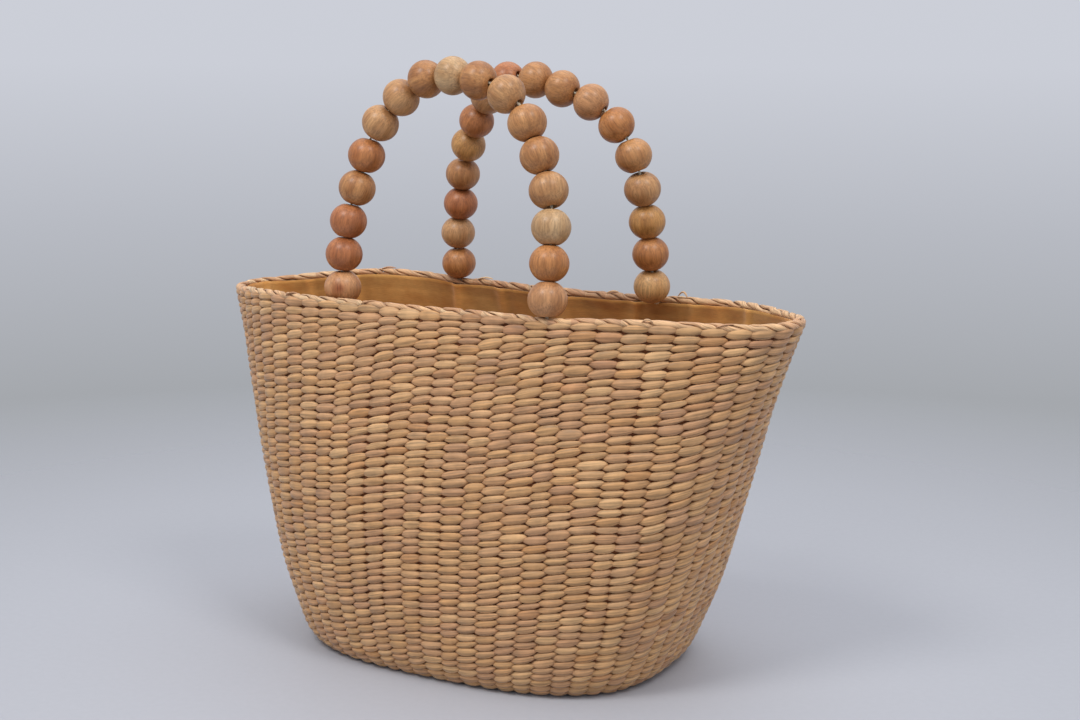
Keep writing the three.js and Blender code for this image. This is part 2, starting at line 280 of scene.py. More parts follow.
@dataclass(frozen=True)
class BagForm:
    """The outside of the bag, with the same sizes and tables as the solids.

    Sections hold the height as a share of the bag's height, the length as a share of the mouth length, the
    depth as a share of the belly depth, and the squareness. Waves hold the number of crests, the lift as a
    share of the height and its crest in degrees, and the push as a share of the mouth length and its crest
    in degrees.
    """

    height: float = 195.5 * MM
    mouth_length: float = 338 * MM
    belly_depth: float = 164 * MM
    round_in: float = 6 * MM
    round_up: float = 12 * MM
    seat_dip: float = 1.25 * MM
    seat_dip_width: float = 44 * MM
    seat_dip_reach: float = 18 * MM
    seats: tuple[float, ...] = (0.0785, 0.5762)
    sections: tuple[tuple[float, ...], ...] = (
        (0, 0.624, 0.914, 2.8),
        (0.1, 0.676, 0.969, 2.75),
        (0.25, 0.747, 1, 2.7),
        (0.5, 0.835, 0.976, 2.6),
        (0.75, 0.918, 0.878, 2.55),
        (1, 1, 0.767, 2.5),
    )
    waves_start: float = 0.6
    waves: tuple[tuple[float, ...], ...] = (
        (1, 0.004, 162, 0, 0),
        (2, 0.009, 105, 0.0014, -22),
        (3, 0.006, 12, 0, 0),
        (4, 0.0065, 42, 0.0053, 15),
        (6, 0, 0, 0.0125, -3),
    )
    places: int = 1440

    def section(self, column: int, share: Array) -> Array:
        """Smooth value of one column of the section table.

        A cubic runs through each pair of rows, with the slope at a row taken from the rows on both sides.

        Args:
            column: Column of the table.
            share: Heights, as shares of the bag's height.

        Returns:
            The values at those heights.
        """
        table = np.array(self.sections)
        at = table[:, 0]
        value = table[:, column]
        low = np.maximum(np.arange(len(at)) - 1, 0)
        high = np.minimum(np.arange(len(at)) + 1, len(at) - 1)
        slope = (value[high] - value[low]) / (at[high] - at[low])
        after = np.clip(np.searchsorted(at, share), 1, len(at) - 1)
        before = after - 1
        span = at[after] - at[before]
        t = np.clip((share - at[before]) / span, 0, 1)
        rise = value[before] + (value[after] - value[before]) * t * t * (3 - 2 * t)
        return rise + t * (1 - t) ** 2 * span * slope[before] + t * t * (t - 1) * span * slope[after]

    def wave(self, column: int, angle: Array) -> Array:
        """Sum of the mouth's waves: size times the cosine of the count times the angle from the crest.

        Args:
            column: Column of the sizes in the wave table. Their crests stand in the next one.
            angle: Angles round the bag.

        Returns:
            The sum at each angle.
        """
        crests = [math.radians(row[column + 1]) for row in self.waves]
        terms = [row[column] * np.cos(row[0] * (angle - crest)) for row, crest in zip(self.waves, crests)]
        return np.sum(terms, axis=0)

    def outline(self, height: float, inset: float) -> Array:
        """Points round the bag at one height, spaced evenly along the girth from the middle of the front.

        The outline is a superellipse, pushed out and lifted by the waves, and pressed down under the two
        beads that stand on the edge.

        Args:
            height: Height above the floor.
            inset: Distance in from the outside.

        Returns:
            One more point than places, because the last is the first again.
        """
        share = np.array(height / self.height)
        half_length = float(self.section(1, share)) * self.mouth_length / 2
        half_depth = float(self.section(2, share)) * self.belly_depth / 2
        power = float(self.section(3, share))
        grown = np.clip((share - self.waves_start) / (1 - self.waves_start), 0, 1) ** 2
        angle = np.linspace(-np.pi / 2, 1.5 * np.pi, self.places + 1)
        cos = np.cos(angle)
        sin = np.sin(angle)
        x = half_length * signed_power(cos, 2 / power)
        y = half_depth * signed_power(sin, 2 / power)
        normal = unit(np.stack([
            signed_power(x / half_length, power - 1) / half_length,
            signed_power(y / half_depth, power - 1) / half_depth,
        ], -1))
        reach = np.hypot(x, y)
        wider = (reach + grown * self.wave(3, angle) * self.mouth_length) / reach
        lift = grown * self.wave(1, angle) * self.height
        ring = np.stack([x * wider, y * wider, height + lift], -1)
        girth = lengths_along(ring)
        even = np.linspace(0, girth[-1], self.places + 1)
        ring[:, :2] -= normal * inset
        ring = points_along(ring, girth, even)
        felt = np.clip(1 - (self.height - height) / self.seat_dip_reach, 0, 1)
        for seat in self.seats:
            turn = (even / girth[-1] - seat + 0.5) % 1 - 0.5
            near = np.minimum(np.abs(turn * girth[-1]) / (self.seat_dip_width / 2), 1)
            ring[:, 2] -= felt * self.seat_dip * (0.5 + 0.5 * np.cos(np.pi * near))
        return ring


class Skin:
    """The bag's outside as a surface of two parameters, with its outward direction.

    Place is the share of the girth from the middle of the front towards +X. Rise is the length up the wall's
    profile, which starts under the rounded bottom corner.
    """

    corner_steps: ClassVar[int] = 8
    wall_steps: ClassVar[int] = 129

    def __init__(self, form: BagForm) -> None:
        """Works out the grid of points and outward directions once.

        Args:
            form: Sizes and tables of the bag.
        """
        turn = np.linspace(0, np.pi / 2, self.corner_steps + 1)
        corner = [(form.round_up * (1 - np.cos(a)), form.round_in * (1 - np.sin(a))) for a in turn]
        wall = [(height, 0.0) for height in np.linspace(form.round_up, form.height, self.wall_steps + 1)[1:]]
        profile = np.array(corner + wall)
        self.form = form
        self.rises = lengths_along(profile)
        self.points = np.stack([form.outline(height, inset) for height, inset in profile])
        around = np.roll(self.points[:, :-1], -1, 1) - np.roll(self.points[:, :-1], 1, 1)
        around = np.concatenate([around, around[:, :1]], 1)
        self.outward = unit(np.cross(around, np.gradient(self.points, axis=0)))
        self.girths = np.linalg.norm(np.diff(self.points, axis=1), axis=2).sum(1)

    @property
    def top(self) -> float:
        """Rise of the top of the edge."""
        return float(self.rises[-1])

    @property
    def corner_start(self) -> float:
        """Rise a little above the middle of the rounded bottom corner, where the inner shells start."""
        return 0.55 * float(self.rises[self.corner_steps])

    def girth(self, rise: Array) -> Array:
        """Length round the bag at each rise."""
        return np.interp(rise, self.rises, self.girths)

    def at(self, place: Array, rise: Array, out: Array | float = 0.0) -> Array:
        """Points of the surface, moved outwards, read from the grid between its four nearest points.

        Args:
            place: Shares of the girth.
            rise: Lengths up the profile.
            out: Distance outwards along the surface's own direction.

        Returns:
            The points, in the shape of the arguments and one axis more.
        """
        place, rise = np.broadcast_arrays(place, rise)
        column = (place % 1) * self.form.places
        row = np.interp(rise, self.rises, np.arange(len(self.rises)))
        left = np.minimum(column.astype(int), self.form.places - 1)
        below = np.minimum(row.astype(int), len(self.rises) - 2)
        across = (column - left)[..., None]
        up = (row - below)[..., None]

        def blend(grid: Array) -> Array:
            """Mixes the four grid points round each place.

            Args:
                grid: Points or directions by row and column.

            Returns:
                The mixed value at each place.
            """
            low = grid[below, left] * (1 - across) + grid[below, left + 1] * across
            high = grid[below + 1, left] * (1 - across) + grid[below + 1, left + 1] * across
            return low * (1 - up) + high * up

        return blend(self.points) + unit(blend(self.outward)) * np.asarray(out)[..., None]


@dataclass(frozen=True)
class StitchShape:
    """One straw stitch: a closed, padded lens whose ends dive under its neighbours.

    Stations are shares of the half length from the middle to the tip, and a point closes each tip.
    """

    stations: tuple[float, ...] = (-0.94, -0.72, -0.4, 0.0, 0.4, 0.72, 0.94)
    sides: int = 8
    taper: float = 2.5
    blunt: float = 0.72
    reach: float = 1.27
    thickness: float = 3.5 * MM
    thinning: float = 0.5
    thinning_power: float = 2.5
    dive: float = 1.2 * MM
    dive_power: float = 2.4
    upright_power: float = 0.75
    outward_power: float = 0.85

    def faces(self) -> tuple[Array, Array]:
        """Quads between the rings and triangles at the two tips, for points numbered ring by ring."""
        rings = len(self.stations)
        return grid_quads(rings, self.sides, False, True), tip_fans(rings, self.sides)

    def offsets(self, half_length: Array, half_height: Array, plump: Array) -> tuple[Array, Array, Array]:
        """Places of a stitch's points along, up and out from its middle.

        The half height is one minus the taper power of the share towards the tip, to the blunt power, and the
        section is a squared oval, which thins towards the tip. The middle line dives with the dive power of
        the share.

        Args:
            half_length: Half the width of each stitch's column.
            half_height: Half the height of each stitch.
            plump: Thickness of each stitch as a share of the usual one.

        Returns:
            Three arrays of along, up and out, a row for each stitch.
        """
        station = np.array([*np.repeat(self.stations, self.sides), -1.0, 1.0])
        angle = np.tile(ring_angles(self.sides), len(self.stations))
        up = np.concatenate([signed_power(np.cos(angle), self.upright_power), [0, 0]])
        out = np.concatenate([signed_power(np.sin(angle), self.outward_power), [0, 0]])
        height = (1 - np.abs(station) ** self.taper) ** self.blunt
        thick = 1 - self.thinning * np.abs(station) ** self.thinning_power
        half = self.thickness / 2 * plump[:, None]
        along = half_length[:, None] * self.reach * station
        raised = half_height[:, None] * height * up
        outward = half * thick * out - half - self.dive * np.abs(station) ** self.dive_power
        return along, raised, outward


@dataclass
class StitchField:
    """Many stitches with their places, sizes and tints, before they are laid on a surface."""

    along: Array
    up: Array
    half_length: Array
    half_height: Array
    tilt: Array
    plump: Array
    tint: Array
    strand_girth: ClassVar[float] = 10.0
    strand_room: ClassVar[float] = 400.0

    def mesh(self, shape: StitchShape, lay: Lay, seed: int) -> MeshData:
        """Builds every stitch of the field as one mesh.

        Args:
            shape: Form of one stitch.
            lay: Function that gives points on the surface, from a stitch's middle as along and up, and the
                place in the stitch as along, up and out.
            seed: Seed of the strands' own markings.

        Returns:
            The mesh, with strand coordinates in millimetres, a tint for each stitch and the share towards its
            tip.
        """
        dice = np.random.default_rng(seed)
        count = len(self.along)
        along, up, out = shape.offsets(self.half_length, self.half_height, self.plump)
        points = lay(self.along[:, None], self.up[:, None], along, up + along * self.tilt[:, None], out)
        quads, triangles = shape.faces()
        each = along.shape[1]
        start = np.arange(count)[:, None, None] * each
        mark = dice.random((count, 2)) * self.strand_room
        ring = np.linspace(0, self.strand_girth, shape.sides, endpoint=False)
        section = np.concatenate([np.tile(ring, len(shape.stations)), [self.strand_girth / 2] * 2])
        uv = np.stack([along / MM + mark[:, :1], section[None, :] + mark[:, 1:]], -1)
        station = np.abs([*np.repeat(shape.stations, shape.sides), -1.0, 1.0])
        return MeshData(
            points=points.reshape(-1, 3),
            quads=(quads[None] + start).reshape(-1, 4),
            triangles=(triangles[None] + start).reshape(-1, 3),
            uv=uv.reshape(-1, 2),
            values={"tint": np.repeat(self.tint, each), "tip": np.tile(station, count)},
        )


@dataclass(frozen=True)
class StrawFinish:
    """Dried straw strands: a tone for each stitch, fine lines along it, and painted brown shade towards its
    tips, where they dive under their neighbours.
    """

    name: str
    tones: tuple[tuple[float, Rgb], ...]
    roughness: float = 0.52
    line_bump: float = 0.35
    tip_shade: float = 0.3
    tip_shade_tone: tuple[float, ...] = (0.55, 0.34, 0.22, 1)

    def material(self) -> bpy.types.Material:
        """Makes the node material.

        Returns:
            A material that reads the strand coordinates, the tint and the tip share.
        """
        nodes = NodeTree(bpy.data.materials.new(self.name))
        strand = nodes.add("ShaderNodeUVMap", uv_map="strand")
        tint = nodes.add("ShaderNodeAttribute", attribute_name="tint")
        tip = nodes.add("ShaderNodeAttribute", attribute_name="tip")
        tone = nodes.ramp(tint.outputs["Fac"], self.tones)
        lines = nodes.noise(strand.outputs["UV"], (0.045, 1.5, 1), 1.0, 4)
        blotch = nodes.noise(strand.outputs["UV"], (0.16, 0.2, 1), 1.0, 2)
        shaded = nodes.shade(tone, lines, 0.6, 1.12, 0.34, 0.62)
        patched = nodes.shade(shaded, blotch, 0.86, 1.08, 0.3, 0.7)
        # Painted shade: the colour darkens towards each stitch's tips, where they dive under the neighbouring
        # stitches.
        dark = nodes.mix("MULTIPLY", 1.0, patched, self.tip_shade_tone)
        amount = nodes.math("MULTIPLY", nodes.math("POWER", tip.outputs["Fac"], 5.0), self.tip_shade)
        full = nodes.mix("MIX", amount, patched, dark)
        rough = nodes.spread(lines, self.roughness - 0.08, self.roughness + 0.14, 0.3, 0.7)
        bump = nodes.bump(lines, self.line_bump, 0.0004)
        nodes.principled(full, rough, bump, sheen=0.12, specular=0.4)
        return nodes.owner


@dataclass(frozen=True)
class PlainFinish:
    """One colour with a soft mottle, for what shows only in gaps, such as the inside of the weave, painted
    dark as shade.
    """

    name: str
    shade: Rgb
    roughness: float = 0.9
    mottle: float = 90.0

    def material(self) -> bpy.types.Material:
        """Makes the node material.

        Returns:
            A material with a soft mottle on object coordinates.
        """
        nodes = NodeTree(bpy.data.materials.new(self.name))
        place = nodes.add("ShaderNodeTexCoord")
        spots = nodes.noise(place.outputs["Object"], (1, 1, 1), self.mottle, 3)
        base = nodes.shade(colour(*self.shade), spots, 0.75, 1.15, 0.3, 0.7)
        nodes.principled(base, self.roughness, nodes.bump(spots, 0.2, 0.0005), sheen=0.0, specular=0.3)
        return nodes.owner


@dataclass(frozen=True)
class CottonFinish:
    """Golden tan cotton: a plain weave of fine threads with soft creases, painted shade where the cloth lies
    further out and painted light where it comes in, and a faint sheen.
    """

    name: str = "golden_cotton"
    light: Rgb = (224, 168, 96)
    dark: Rgb = (186, 120, 54)
    threads: float = 1.9

    def material(self) -> bpy.types.Material:
        """Makes the node material.

        Returns:
            A material that reads the cloth coordinates and the shade of the folds.
        """
        nodes = NodeTree(bpy.data.materials.new(self.name))
        cloth = nodes.add("ShaderNodeUVMap", uv_map="strand")
        warp = nodes.wave(cloth.outputs["UV"], (self.threads, 0, 0))
        weft = nodes.wave(cloth.outputs["UV"], (0, self.threads, 0))
        threads = nodes.math("MULTIPLY", warp, weft)
        patch = nodes.noise(cloth.outputs["UV"], (0.035, 0.06, 1), 1.0, 4)
        slub = nodes.noise(cloth.outputs["UV"], (0.25, 2.4, 1), 1.0, 2)
        tone = nodes.mix("MIX", nodes.spread(patch, 0, 1, 0.3, 0.7), colour(*self.dark), colour(*self.light))
        fine = nodes.shade(tone, slub, 0.86, 1.06, 0.3, 0.7)
        woven = nodes.shade(fine, threads, 0.88, 1.04, 0.0, 1.0)
        shade = nodes.add("ShaderNodeAttribute", attribute_name="shade")
        # Painted shade and light from the ripple: darker where the cloth lies further out, in fold recesses
        # and along the seam line, and lighter where it comes in, on ridges and the rolled hem.
        fold_shaded = nodes.shade(woven, shade.outputs["Fac"], 1.1, 0.72, -1.2, 0.5)
        nodes.principled(fold_shaded, 0.88, nodes.bump(threads, 0.25, 0.0002), sheen=0.25, specular=0.2)
        return nodes.owner


@dataclass(frozen=True)
class WoodTone:
    """Light and dark tone of one kind of bead wood."""

    light: Rgb
    dark: Rgb


class Wood(Enum):
    """The tones that the beads come in."""

    YELLOW_CREAM = WoodTone((212, 166, 110), (184, 134, 80))
    WARM_CREAM = WoodTone((214, 162, 114), (186, 128, 80))
    CREAM = WoodTone((197, 161, 118), (171, 131, 88))
    PALE_TAN = WoodTone((198, 150, 101), (168, 118, 73))
    TAN = WoodTone((191, 137, 86), (159, 105, 60))
    PINK_TAN = WoodTone((197, 144, 98), (167, 115, 72))
    YELLOW_TAN = WoodTone((197, 146, 86), (167, 115, 60))
    ORANGE_TAN = WoodTone((193, 132, 78), (161, 101, 52))
    ORANGE_BROWN = WoodTone((188, 123, 72), (156, 94, 49))
    RED_BROWN = WoodTone((188, 120, 74), (154, 90, 50))


@dataclass(frozen=True)
class WoodFinish:
    """Turned wood under satin lacquer: grain along the thread, small pores and an optional knot."""

    name: str
    tone: WoodTone
    knot_brown: tuple[float, ...] = (0.48, 0.25, 0.14, 1)
    band_stretch: tuple[float, ...] = (0.16, 0.16, 0.02)
    line_stretch: tuple[float, ...] = (1.1, 1.1, 0.07)
    pore_stretch: tuple[float, ...] = (3.2, 3.2, 0.32)

    def material(self) -> bpy.types.Material:
        """Makes the node material.

        Returns:
            A material that reads the bead's own coordinates in millimetres and its knot.
        """
        nodes = NodeTree(bpy.data.materials.new(self.name))
        own = nodes.add("ShaderNodeAttribute", attribute_name="grain")
        knot = nodes.add("ShaderNodeAttribute", attribute_name="knot")
        bands = nodes.noise(own.outputs["Vector"], self.band_stretch, 1.0, 3)
        lines = nodes.noise(own.outputs["Vector"], self.line_stretch, 1.0, 3)
        pores = nodes.noise(own.outputs["Vector"], self.pore_stretch, 1.0, 2)
        band = nodes.spread(bands, 0, 1, 0.35, 0.65)
        mixed = nodes.mix("MIX", band, colour(*self.tone.dark), colour(*self.tone.light))
        lined = nodes.shade(mixed, lines, 0.7, 1.06, 0.32, 0.62)
        pored = nodes.shade(lined, pores, 0.62, 1.0, 0.3, 0.42)
        browned = nodes.mix("MULTIPLY", 1.0, pored, self.knot_brown)
        full = nodes.mix("MIX", knot.outputs["Fac"], pored, browned)
        rough = nodes.spread(lines, 0.42, 0.56, 0.3, 0.7)
        nodes.principled(full, rough, nodes.bump(pores, 0.12, 0.0002), sheen=0.0, specular=0.35, coat=0.22)
        return nodes.owner


@dataclass(frozen=True)
class NylonFinish:
    """Pale, slightly clear nylon thread."""

    name: str = "pale_nylon"
    shade: Rgb = (226, 214, 188)

    def material(self) -> bpy.types.Material:
        """Makes the node material.

        Returns:
            A material that reads the strand coordinates.
        """
        nodes = NodeTree(bpy.data.materials.new(self.name))
        strand = nodes.add("ShaderNodeUVMap", uv_map="strand")
        fibre = nodes.noise(strand.outputs["UV"], (0.3, 2.0, 1), 1.0, 2)
        base = nodes.shade(colour(*self.shade), fibre, 0.85, 1.05, 0.3, 0.7)
        nodes.principled(base, 0.42, nodes.bump(fibre, 0.2, 0.0002), sheen=0.1, specular=0.5)
        return nodes.owner


class NodeTree:
    """A small helper that adds and links the shader nodes of one material or of the world."""

    def __init__(self, owner: bpy.types.Material | bpy.types.World) -> None:
        """Starts an empty tree.

        Args:
            owner: Material or world that the nodes belong to.
        """
        self.owner = owner
        owner.use_nodes = True
        self.tree = owner.node_tree
        self.tree.nodes.clear()

    def add(self, kind: str, **settings: object) -> bpy.types.Node:
        """Adds a node and sets its own settings.

        Args:
            kind: Type of the node.
            **settings: Attributes of the node.

        Returns:
            The node.
        """
        node = self.tree.nodes.new(kind)
        for key, value in settings.items():
            setattr(node, key, value)
        return node

    def plug(self, target: Socket, source: Input) -> None:
        """Links a socket to another one, or sets it to a plain value.

        Args:
            target: Socket that takes the value.
            source: Socket or plain value that it gets.
        """
        if isinstance(source, bpy.types.NodeSocket):
            self.tree.links.new(source, target)
        else:
            target.default_value = source

    def noise(self, vector: Socket, stretch: tuple[float, ...], scale: float, detail: float) -> Socket:
        """Noise on stretched coordinates.

        Args:
            vector: Coordinates.
            stretch: Scale of each coordinate.
            scale: Scale of the noise.
            detail: Detail of the noise.

        Returns:
            The noise from 0 to 1.
        """
        mapping = self.add("ShaderNodeMapping")
        self.plug(mapping.inputs["Vector"], vector)
        mapping.inputs["Scale"].default_value = stretch
        texture = self.add("ShaderNodeTexNoise")
        self.plug(texture.inputs["Vector"], mapping.outputs["Vector"])
        texture.inputs["Scale"].default_value = scale
        texture.inputs["Detail"].default_value = detail
        return texture.outputs["Fac"]

    def wave(self, vector: Socket, stretch: tuple[float, ...]) -> Socket:
        """Even threads: half of one plus the sine of the stretched coordinates' sum.

        Args:
            vector: Coordinates.
            stretch: Threads for each unit of each coordinate.

        Returns:
            The wave from 0 to 1.
        """
        product = self.add("ShaderNodeVectorMath", operation="DOT_PRODUCT")
        self.plug(product.inputs[0], vector)
        product.inputs[1].default_value = tuple(part * 2 * math.pi for part in stretch)
        sine = self.math("SINE", product.outputs["Value"])
        return self.math("MULTIPLY_ADD", sine, 0.5, 0.5)

    def math(self, operation: str, *values: Input) -> Socket:
        """A math node.

        Args:
            operation: What it does.
            *values: Sockets or numbers that it takes.

        Returns:
            The result.
        """
        node = self.add("ShaderNodeMath", operation=operation)
        for index, value in enumerate(values):
            self.plug(node.inputs[index], value)
        return node.outputs[0]

    def spread(self, value: Input, low: float, high: float, start: float, end: float) -> Socket:
        """Maps one range onto another, without going past it.

        Args:
            value: The value to map.
            low: Result at the start of the value's range.
            high: Result at its end.
            start: Start of the value's range.
            end: End of the value's range.

        Returns:
            The mapped value.
        """
        node = self.add("ShaderNodeMapRange")
        settings = {"Value": value, "From Min": start, "From Max": end, "To Min": low, "To Max": high}
        for key, setting in settings.items():
            self.plug(node.inputs[key], setting)
        return node.outputs["Result"]

    def ramp(self, value: Input, stops: tuple[tuple[float, Rgb], ...]) -> Socket:
        """A colour ramp.

        Args:
            value: Place on the ramp from 0 to 1.
            stops: Places on the ramp with their screen colours.

        Returns:
            The colour.
        """
        node = self.add("ShaderNodeValToRGB")
        elements = node.color_ramp.elements
        while len(elements) < len(stops):
            elements.new(0.5)
        for element, (at, tone) in zip(elements, stops):
            element.position = at
            element.color = colour(*tone)
        self.plug(node.inputs["Fac"], value)
        return node.outputs["Color"]

    def mix(self, blend: str, amount: Input, first: Input, second: Input) -> Socket:
        """Mixes two colours.

        Args:
            blend: How they are mixed.
            amount: Share of the second.
            first: First colour.
            second: Second colour.

        Returns:
            The mixed colour.
        """
        node = self.add("ShaderNodeMix", data_type="RGBA", blend_type=blend)
        self.plug(node.inputs["Factor"], amount)
        colours = [socket for socket in node.inputs if socket.type == "RGBA"]
        self.plug(colours[0], first)
        self.plug(colours[1], second)
        return next(socket for socket in node.outputs if socket.type == "RGBA")

    def shade(self, tone: Input, value: Socket, low: float, high: float, start: float, end: float) -> Socket:
        """Multiplies a colour by a grey that follows a value.

        Args:
            tone: The colour.
            value: The value that the grey follows.
            low: Grey at the start of the value's range.
            high: Grey at its end.
            start: Start of the value's range.
            end: End of the value's range.

        Returns:
            The shaded colour.
        """
        level = self.spread(value, low, high, start, end)
        grey = self.add("ShaderNodeCombineColor")
        for channel in range(3):
            self.plug(grey.inputs[channel], level)
        return self.mix("MULTIPLY", 1.0, tone, grey.outputs["Color"])

    def bump(self, height: Socket, strength: float, distance: float) -> Socket:
        """A bump.

        Args:
            height: Height from 0 to 1.
            strength: Strength of the bump.
            distance: Its depth in metres.

        Returns:
            The bumped normal.
        """
        node = self.add("ShaderNodeBump")
        self.plug(node.inputs["Height"], height)
        node.inputs["Strength"].default_value = strength
        node.inputs["Distance"].default_value = distance
        return node.outputs["Normal"]

    def close(self, kind: str, surface: Socket) -> None:
        """Adds the output node of the given type and links the surface to it."""
        self.tree.links.new(surface, self.add(kind).inputs["Surface"])

    def principled(
        self,
        base: Input,
        roughness: Input,
        normal: Socket,
        sheen: float,
        specular: float,
        coat: float = 0.0,
    ) -> None:
        """Closes the tree with the main shader.

        Args:
            base: Base colour.
            roughness: Roughness.
            normal: Normal from a bump.
            sheen: Weight of the sheen.
            specular: Specular level.
            coat: Weight of a clear coat.
        """
        shader = self.add("ShaderNodeBsdfPrincipled")
        self.plug(shader.inputs["Base Color"], base)
        self.plug(shader.inputs["Roughness"], roughness)
        self.plug(shader.inputs["Normal"], normal)
        shader.inputs["Sheen Weight"].default_value = sheen
        shader.inputs["Sheen Roughness"].default_value = 0.5
        shader.inputs["Specular IOR Level"].default_value = specular
        shader.inputs["Coat Weight"].default_value = coat
        shader.inputs["Coat Roughness"].default_value = 0.25
        self.close("ShaderNodeOutputMaterial", shader.outputs["BSDF"])


def dress(
    piece: bpy.types.Object,
    material: bpy.types.Material,
    slot: Slot,
    *stands_for: str,
) -> bpy.types.Object:
    """Gives a piece its material and its place in the frame.

    Args:
        piece: The new piece.
        material: Its material.
        slot: Slot of the record for the piece. Not used.
        *stands_for: CAD nodes that it replaces.

    Returns:
        The piece.
    """
    piece.data.materials.append(material)
    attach(piece, ROOT)
    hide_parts(*stands_for)
    mesh = piece.data
    LOG.info("%s: %d points, %d faces", piece.name, len(mesh.vertices), len(mesh.polygons))
    return piece


@dataclass
class WovenWall:
    """The wall: upright columns of slanting straw stitches, laid in rows that climb round the bag.

    Each stitch rises to the right, so its tips lie between the tips of the columns beside it.
    """

    skin: Skin
    columns: int = 62
    pitch: float = 4.4 * MM
    edge_height: float = 2.7 * MM
    climbs: int = 4
    slant: float = 0.15
    row_range: float = 0.1
    line_range: float = 0.085
    lean_range: float = 0.035
    plump_range: tuple[float, float] = (0.86, 1.1)
    own_range: float = 0.04
    drifts: tuple[tuple[float, float], ...] = ((0.05, 1.1), (0.035, 3.3))
    growth: float = 0.1
    pressed: float = 0.2
    pressed_rows: float = 1.5
    fade: float = 0.65
    fade_rows: float = 7
    looser: float = 0.025
    looser_from: float = 0.72
    most_jitter: float = 1.8
    starts_below: float = 0.35
    ends_above: float = 0.1
    sway: float = 1.1 * MM
    upright_rows: float = 3
    least_slant: float = 0.25
    overlap: float = 1.1
    gaps: tuple[tuple[float, float], ...] = ((0.084, 149.9 * MM), (-0.083, 150.9 * MM))
    gap_height: float = 0.75
    gap_plump: float = 0.6
    tone_blocks: int = 8
    block_share: float = 0.3
    seed: int = 11
    shape: StitchShape = field(default_factory=StitchShape)

    def boundary(self, column: Array, rise: Array) -> Array:
        """Left side of a column, which wanders by a few hundredths of a column as two sines of the rise.

        Each drift holds the size of its sine, as a share of a column, and its number of waves up the wall.

        Args:
            column: Number of the column.
            rise: Lengths up the profile.

        Returns:
            Shares of the girth.
        """
        dice = np.random.default_rng(self.seed)
        own = dice.uniform(-self.own_range, self.own_range, self.columns)
        phase = dice.random((2, self.columns))
        index = column % self.columns
        climb = rise / self.skin.top
        drift = np.zeros_like(climb)
        for (size, waves), start in zip(self.drifts, phase):
            drift = drift + size * np.sin(2 * np.pi * (waves * climb + start[index]))
        return (column + own[index] + drift) / self.columns

    def lines(self, dice: np.random.Generator) -> Array:
        """Lines between the stitches of each column.

        The lines are about a pitch apart and drop a little from column to column, so that the rows make a few
        climbs round the bag. Near both ends of a column the drop fades, and chance moves each line a little.
        The pitch grows upwards, and the last rows under the edge are pressed together.

        Args:
            dice: Source of chance.

        Returns:
            Rises, a row for each column.
        """
        reach = self.skin.top - self.edge_height
        rows = int(round(reach / self.pitch)) + 1
        row = np.arange(rows)
        weight = dice.uniform(1 - self.row_range, 1 + self.row_range, rows)
        weight = weight * (1 - self.growth / 2 + self.growth * row / rows)
        weight = weight * (1 - self.pressed * np.exp(-(rows - 1 - row) / self.pressed_rows))
        heights = np.concatenate([[0], np.cumsum(weight)]) * reach / weight.sum()
        level = np.arange(rows + 1)
        fade = 1 - self.fade + self.fade * np.clip(np.minimum(level, rows - level) / self.fade_rows, 0, 1)
        drop = 0.5 - (np.arange(self.columns) * self.climbs / self.columns) % 1
        high = np.clip((level / rows - self.looser_from) / (1 - self.looser_from), 0, 1)
        loose = self.line_range + self.looser * high
        jitter = dice.normal(0, 1, (self.columns, rows + 1)).clip(-self.most_jitter, self.most_jitter)
        line = level + drop[:, None] * fade + jitter * loose
        line[:, 0] = -self.starts_below
        line[:, -1] = rows + self.ends_above
        below = np.minimum(line, 0)
        above = np.maximum(line - rows, 0)
        return np.interp(line, level, heights) + (below + above) * reach / rows

    def stitches(self) -> tuple[StitchField, Array]:
        """Lays out every stitch of the wall.

        Each stitch fills the room between two lines of its column and leans a little, less so in the first
        and last rows. Its tone is shared in part by its block of columns in the row. At the gaps a stitch is
        thin, so that the core, painted dark as shade, shows.

        Returns:
            The stitches, whose along is a share of the girth, and each stitch's column.
        """
        dice = np.random.default_rng(self.seed + 1)
        line = self.lines(dice)
        low = line[:, :-1]
        top = line[:, 1:]
        rows = low.shape[1]
        pitch = (self.skin.top - self.edge_height) / rows
        column, row = np.meshgrid(np.arange(self.columns), np.arange(rows), indexing="ij")
        middle = (low + top) / 2
        left = self.boundary(column, middle)
        right = self.boundary(column + 1, middle)
        right = np.where(column == self.columns - 1, self.boundary(column * 0, middle) + 1, right)
        around = (column + 0.5) / self.columns
        sway = self.sway * soft_noise(around, self.seed + 2, 3)
        middle = middle + sway * np.sin(np.pi * np.clip(middle / self.skin.top, 0, 1))
        girth = self.skin.girth(middle)
        block = (column * self.tone_blocks) // self.columns
        block_tone = self.block_share * dice.random((rows, self.tone_blocks))[row, block]
        tint = np.clip(block_tone + (1 - self.block_share) * dice.random(column.shape), 0, 1)
        tilt = self.slant + self.lean_range * soft_noise(around, self.seed + 3, 3)
        tilt = tilt + dice.normal(0, self.lean_range, column.shape)
        for rows_away in (rows - 0.4 - row, row + 0.6):
            tilt = tilt * np.clip(rows_away / self.upright_rows, self.least_slant, 1)
        plump = dice.uniform(*self.plump_range, column.shape)
        half_height = (top - low) / 2 * self.overlap
        for gap_place, gap_rise in self.gaps:
            beside = np.abs((left + right) / 2 - gap_place % 1) < 0.6 / self.columns
            near = beside & (np.abs(middle - gap_rise) < 0.5 * pitch)
            half_height = np.where(near, half_height * self.gap_height, half_height)
            plump = np.where(near, self.gap_plump, plump)
        laid = StitchField(
            along=((left + right) / 2).ravel(),
            up=middle.ravel(),
            half_length=((right - left) * girth / 2).ravel(),
            half_height=half_height.ravel(),
            tilt=tilt.ravel(),
            plump=plump.ravel(),
            tint=tint.ravel(),
        )
        return laid, column.ravel()

    def build(self, material: bpy.types.Material) -> list[bpy.types.Object]:
        """Builds the wall in four pieces of the girth, so that none is too large.

        Args:
            material: Straw of the stitches.

        Returns:
            The pieces.
        """
        stitches, column = self.stitches()

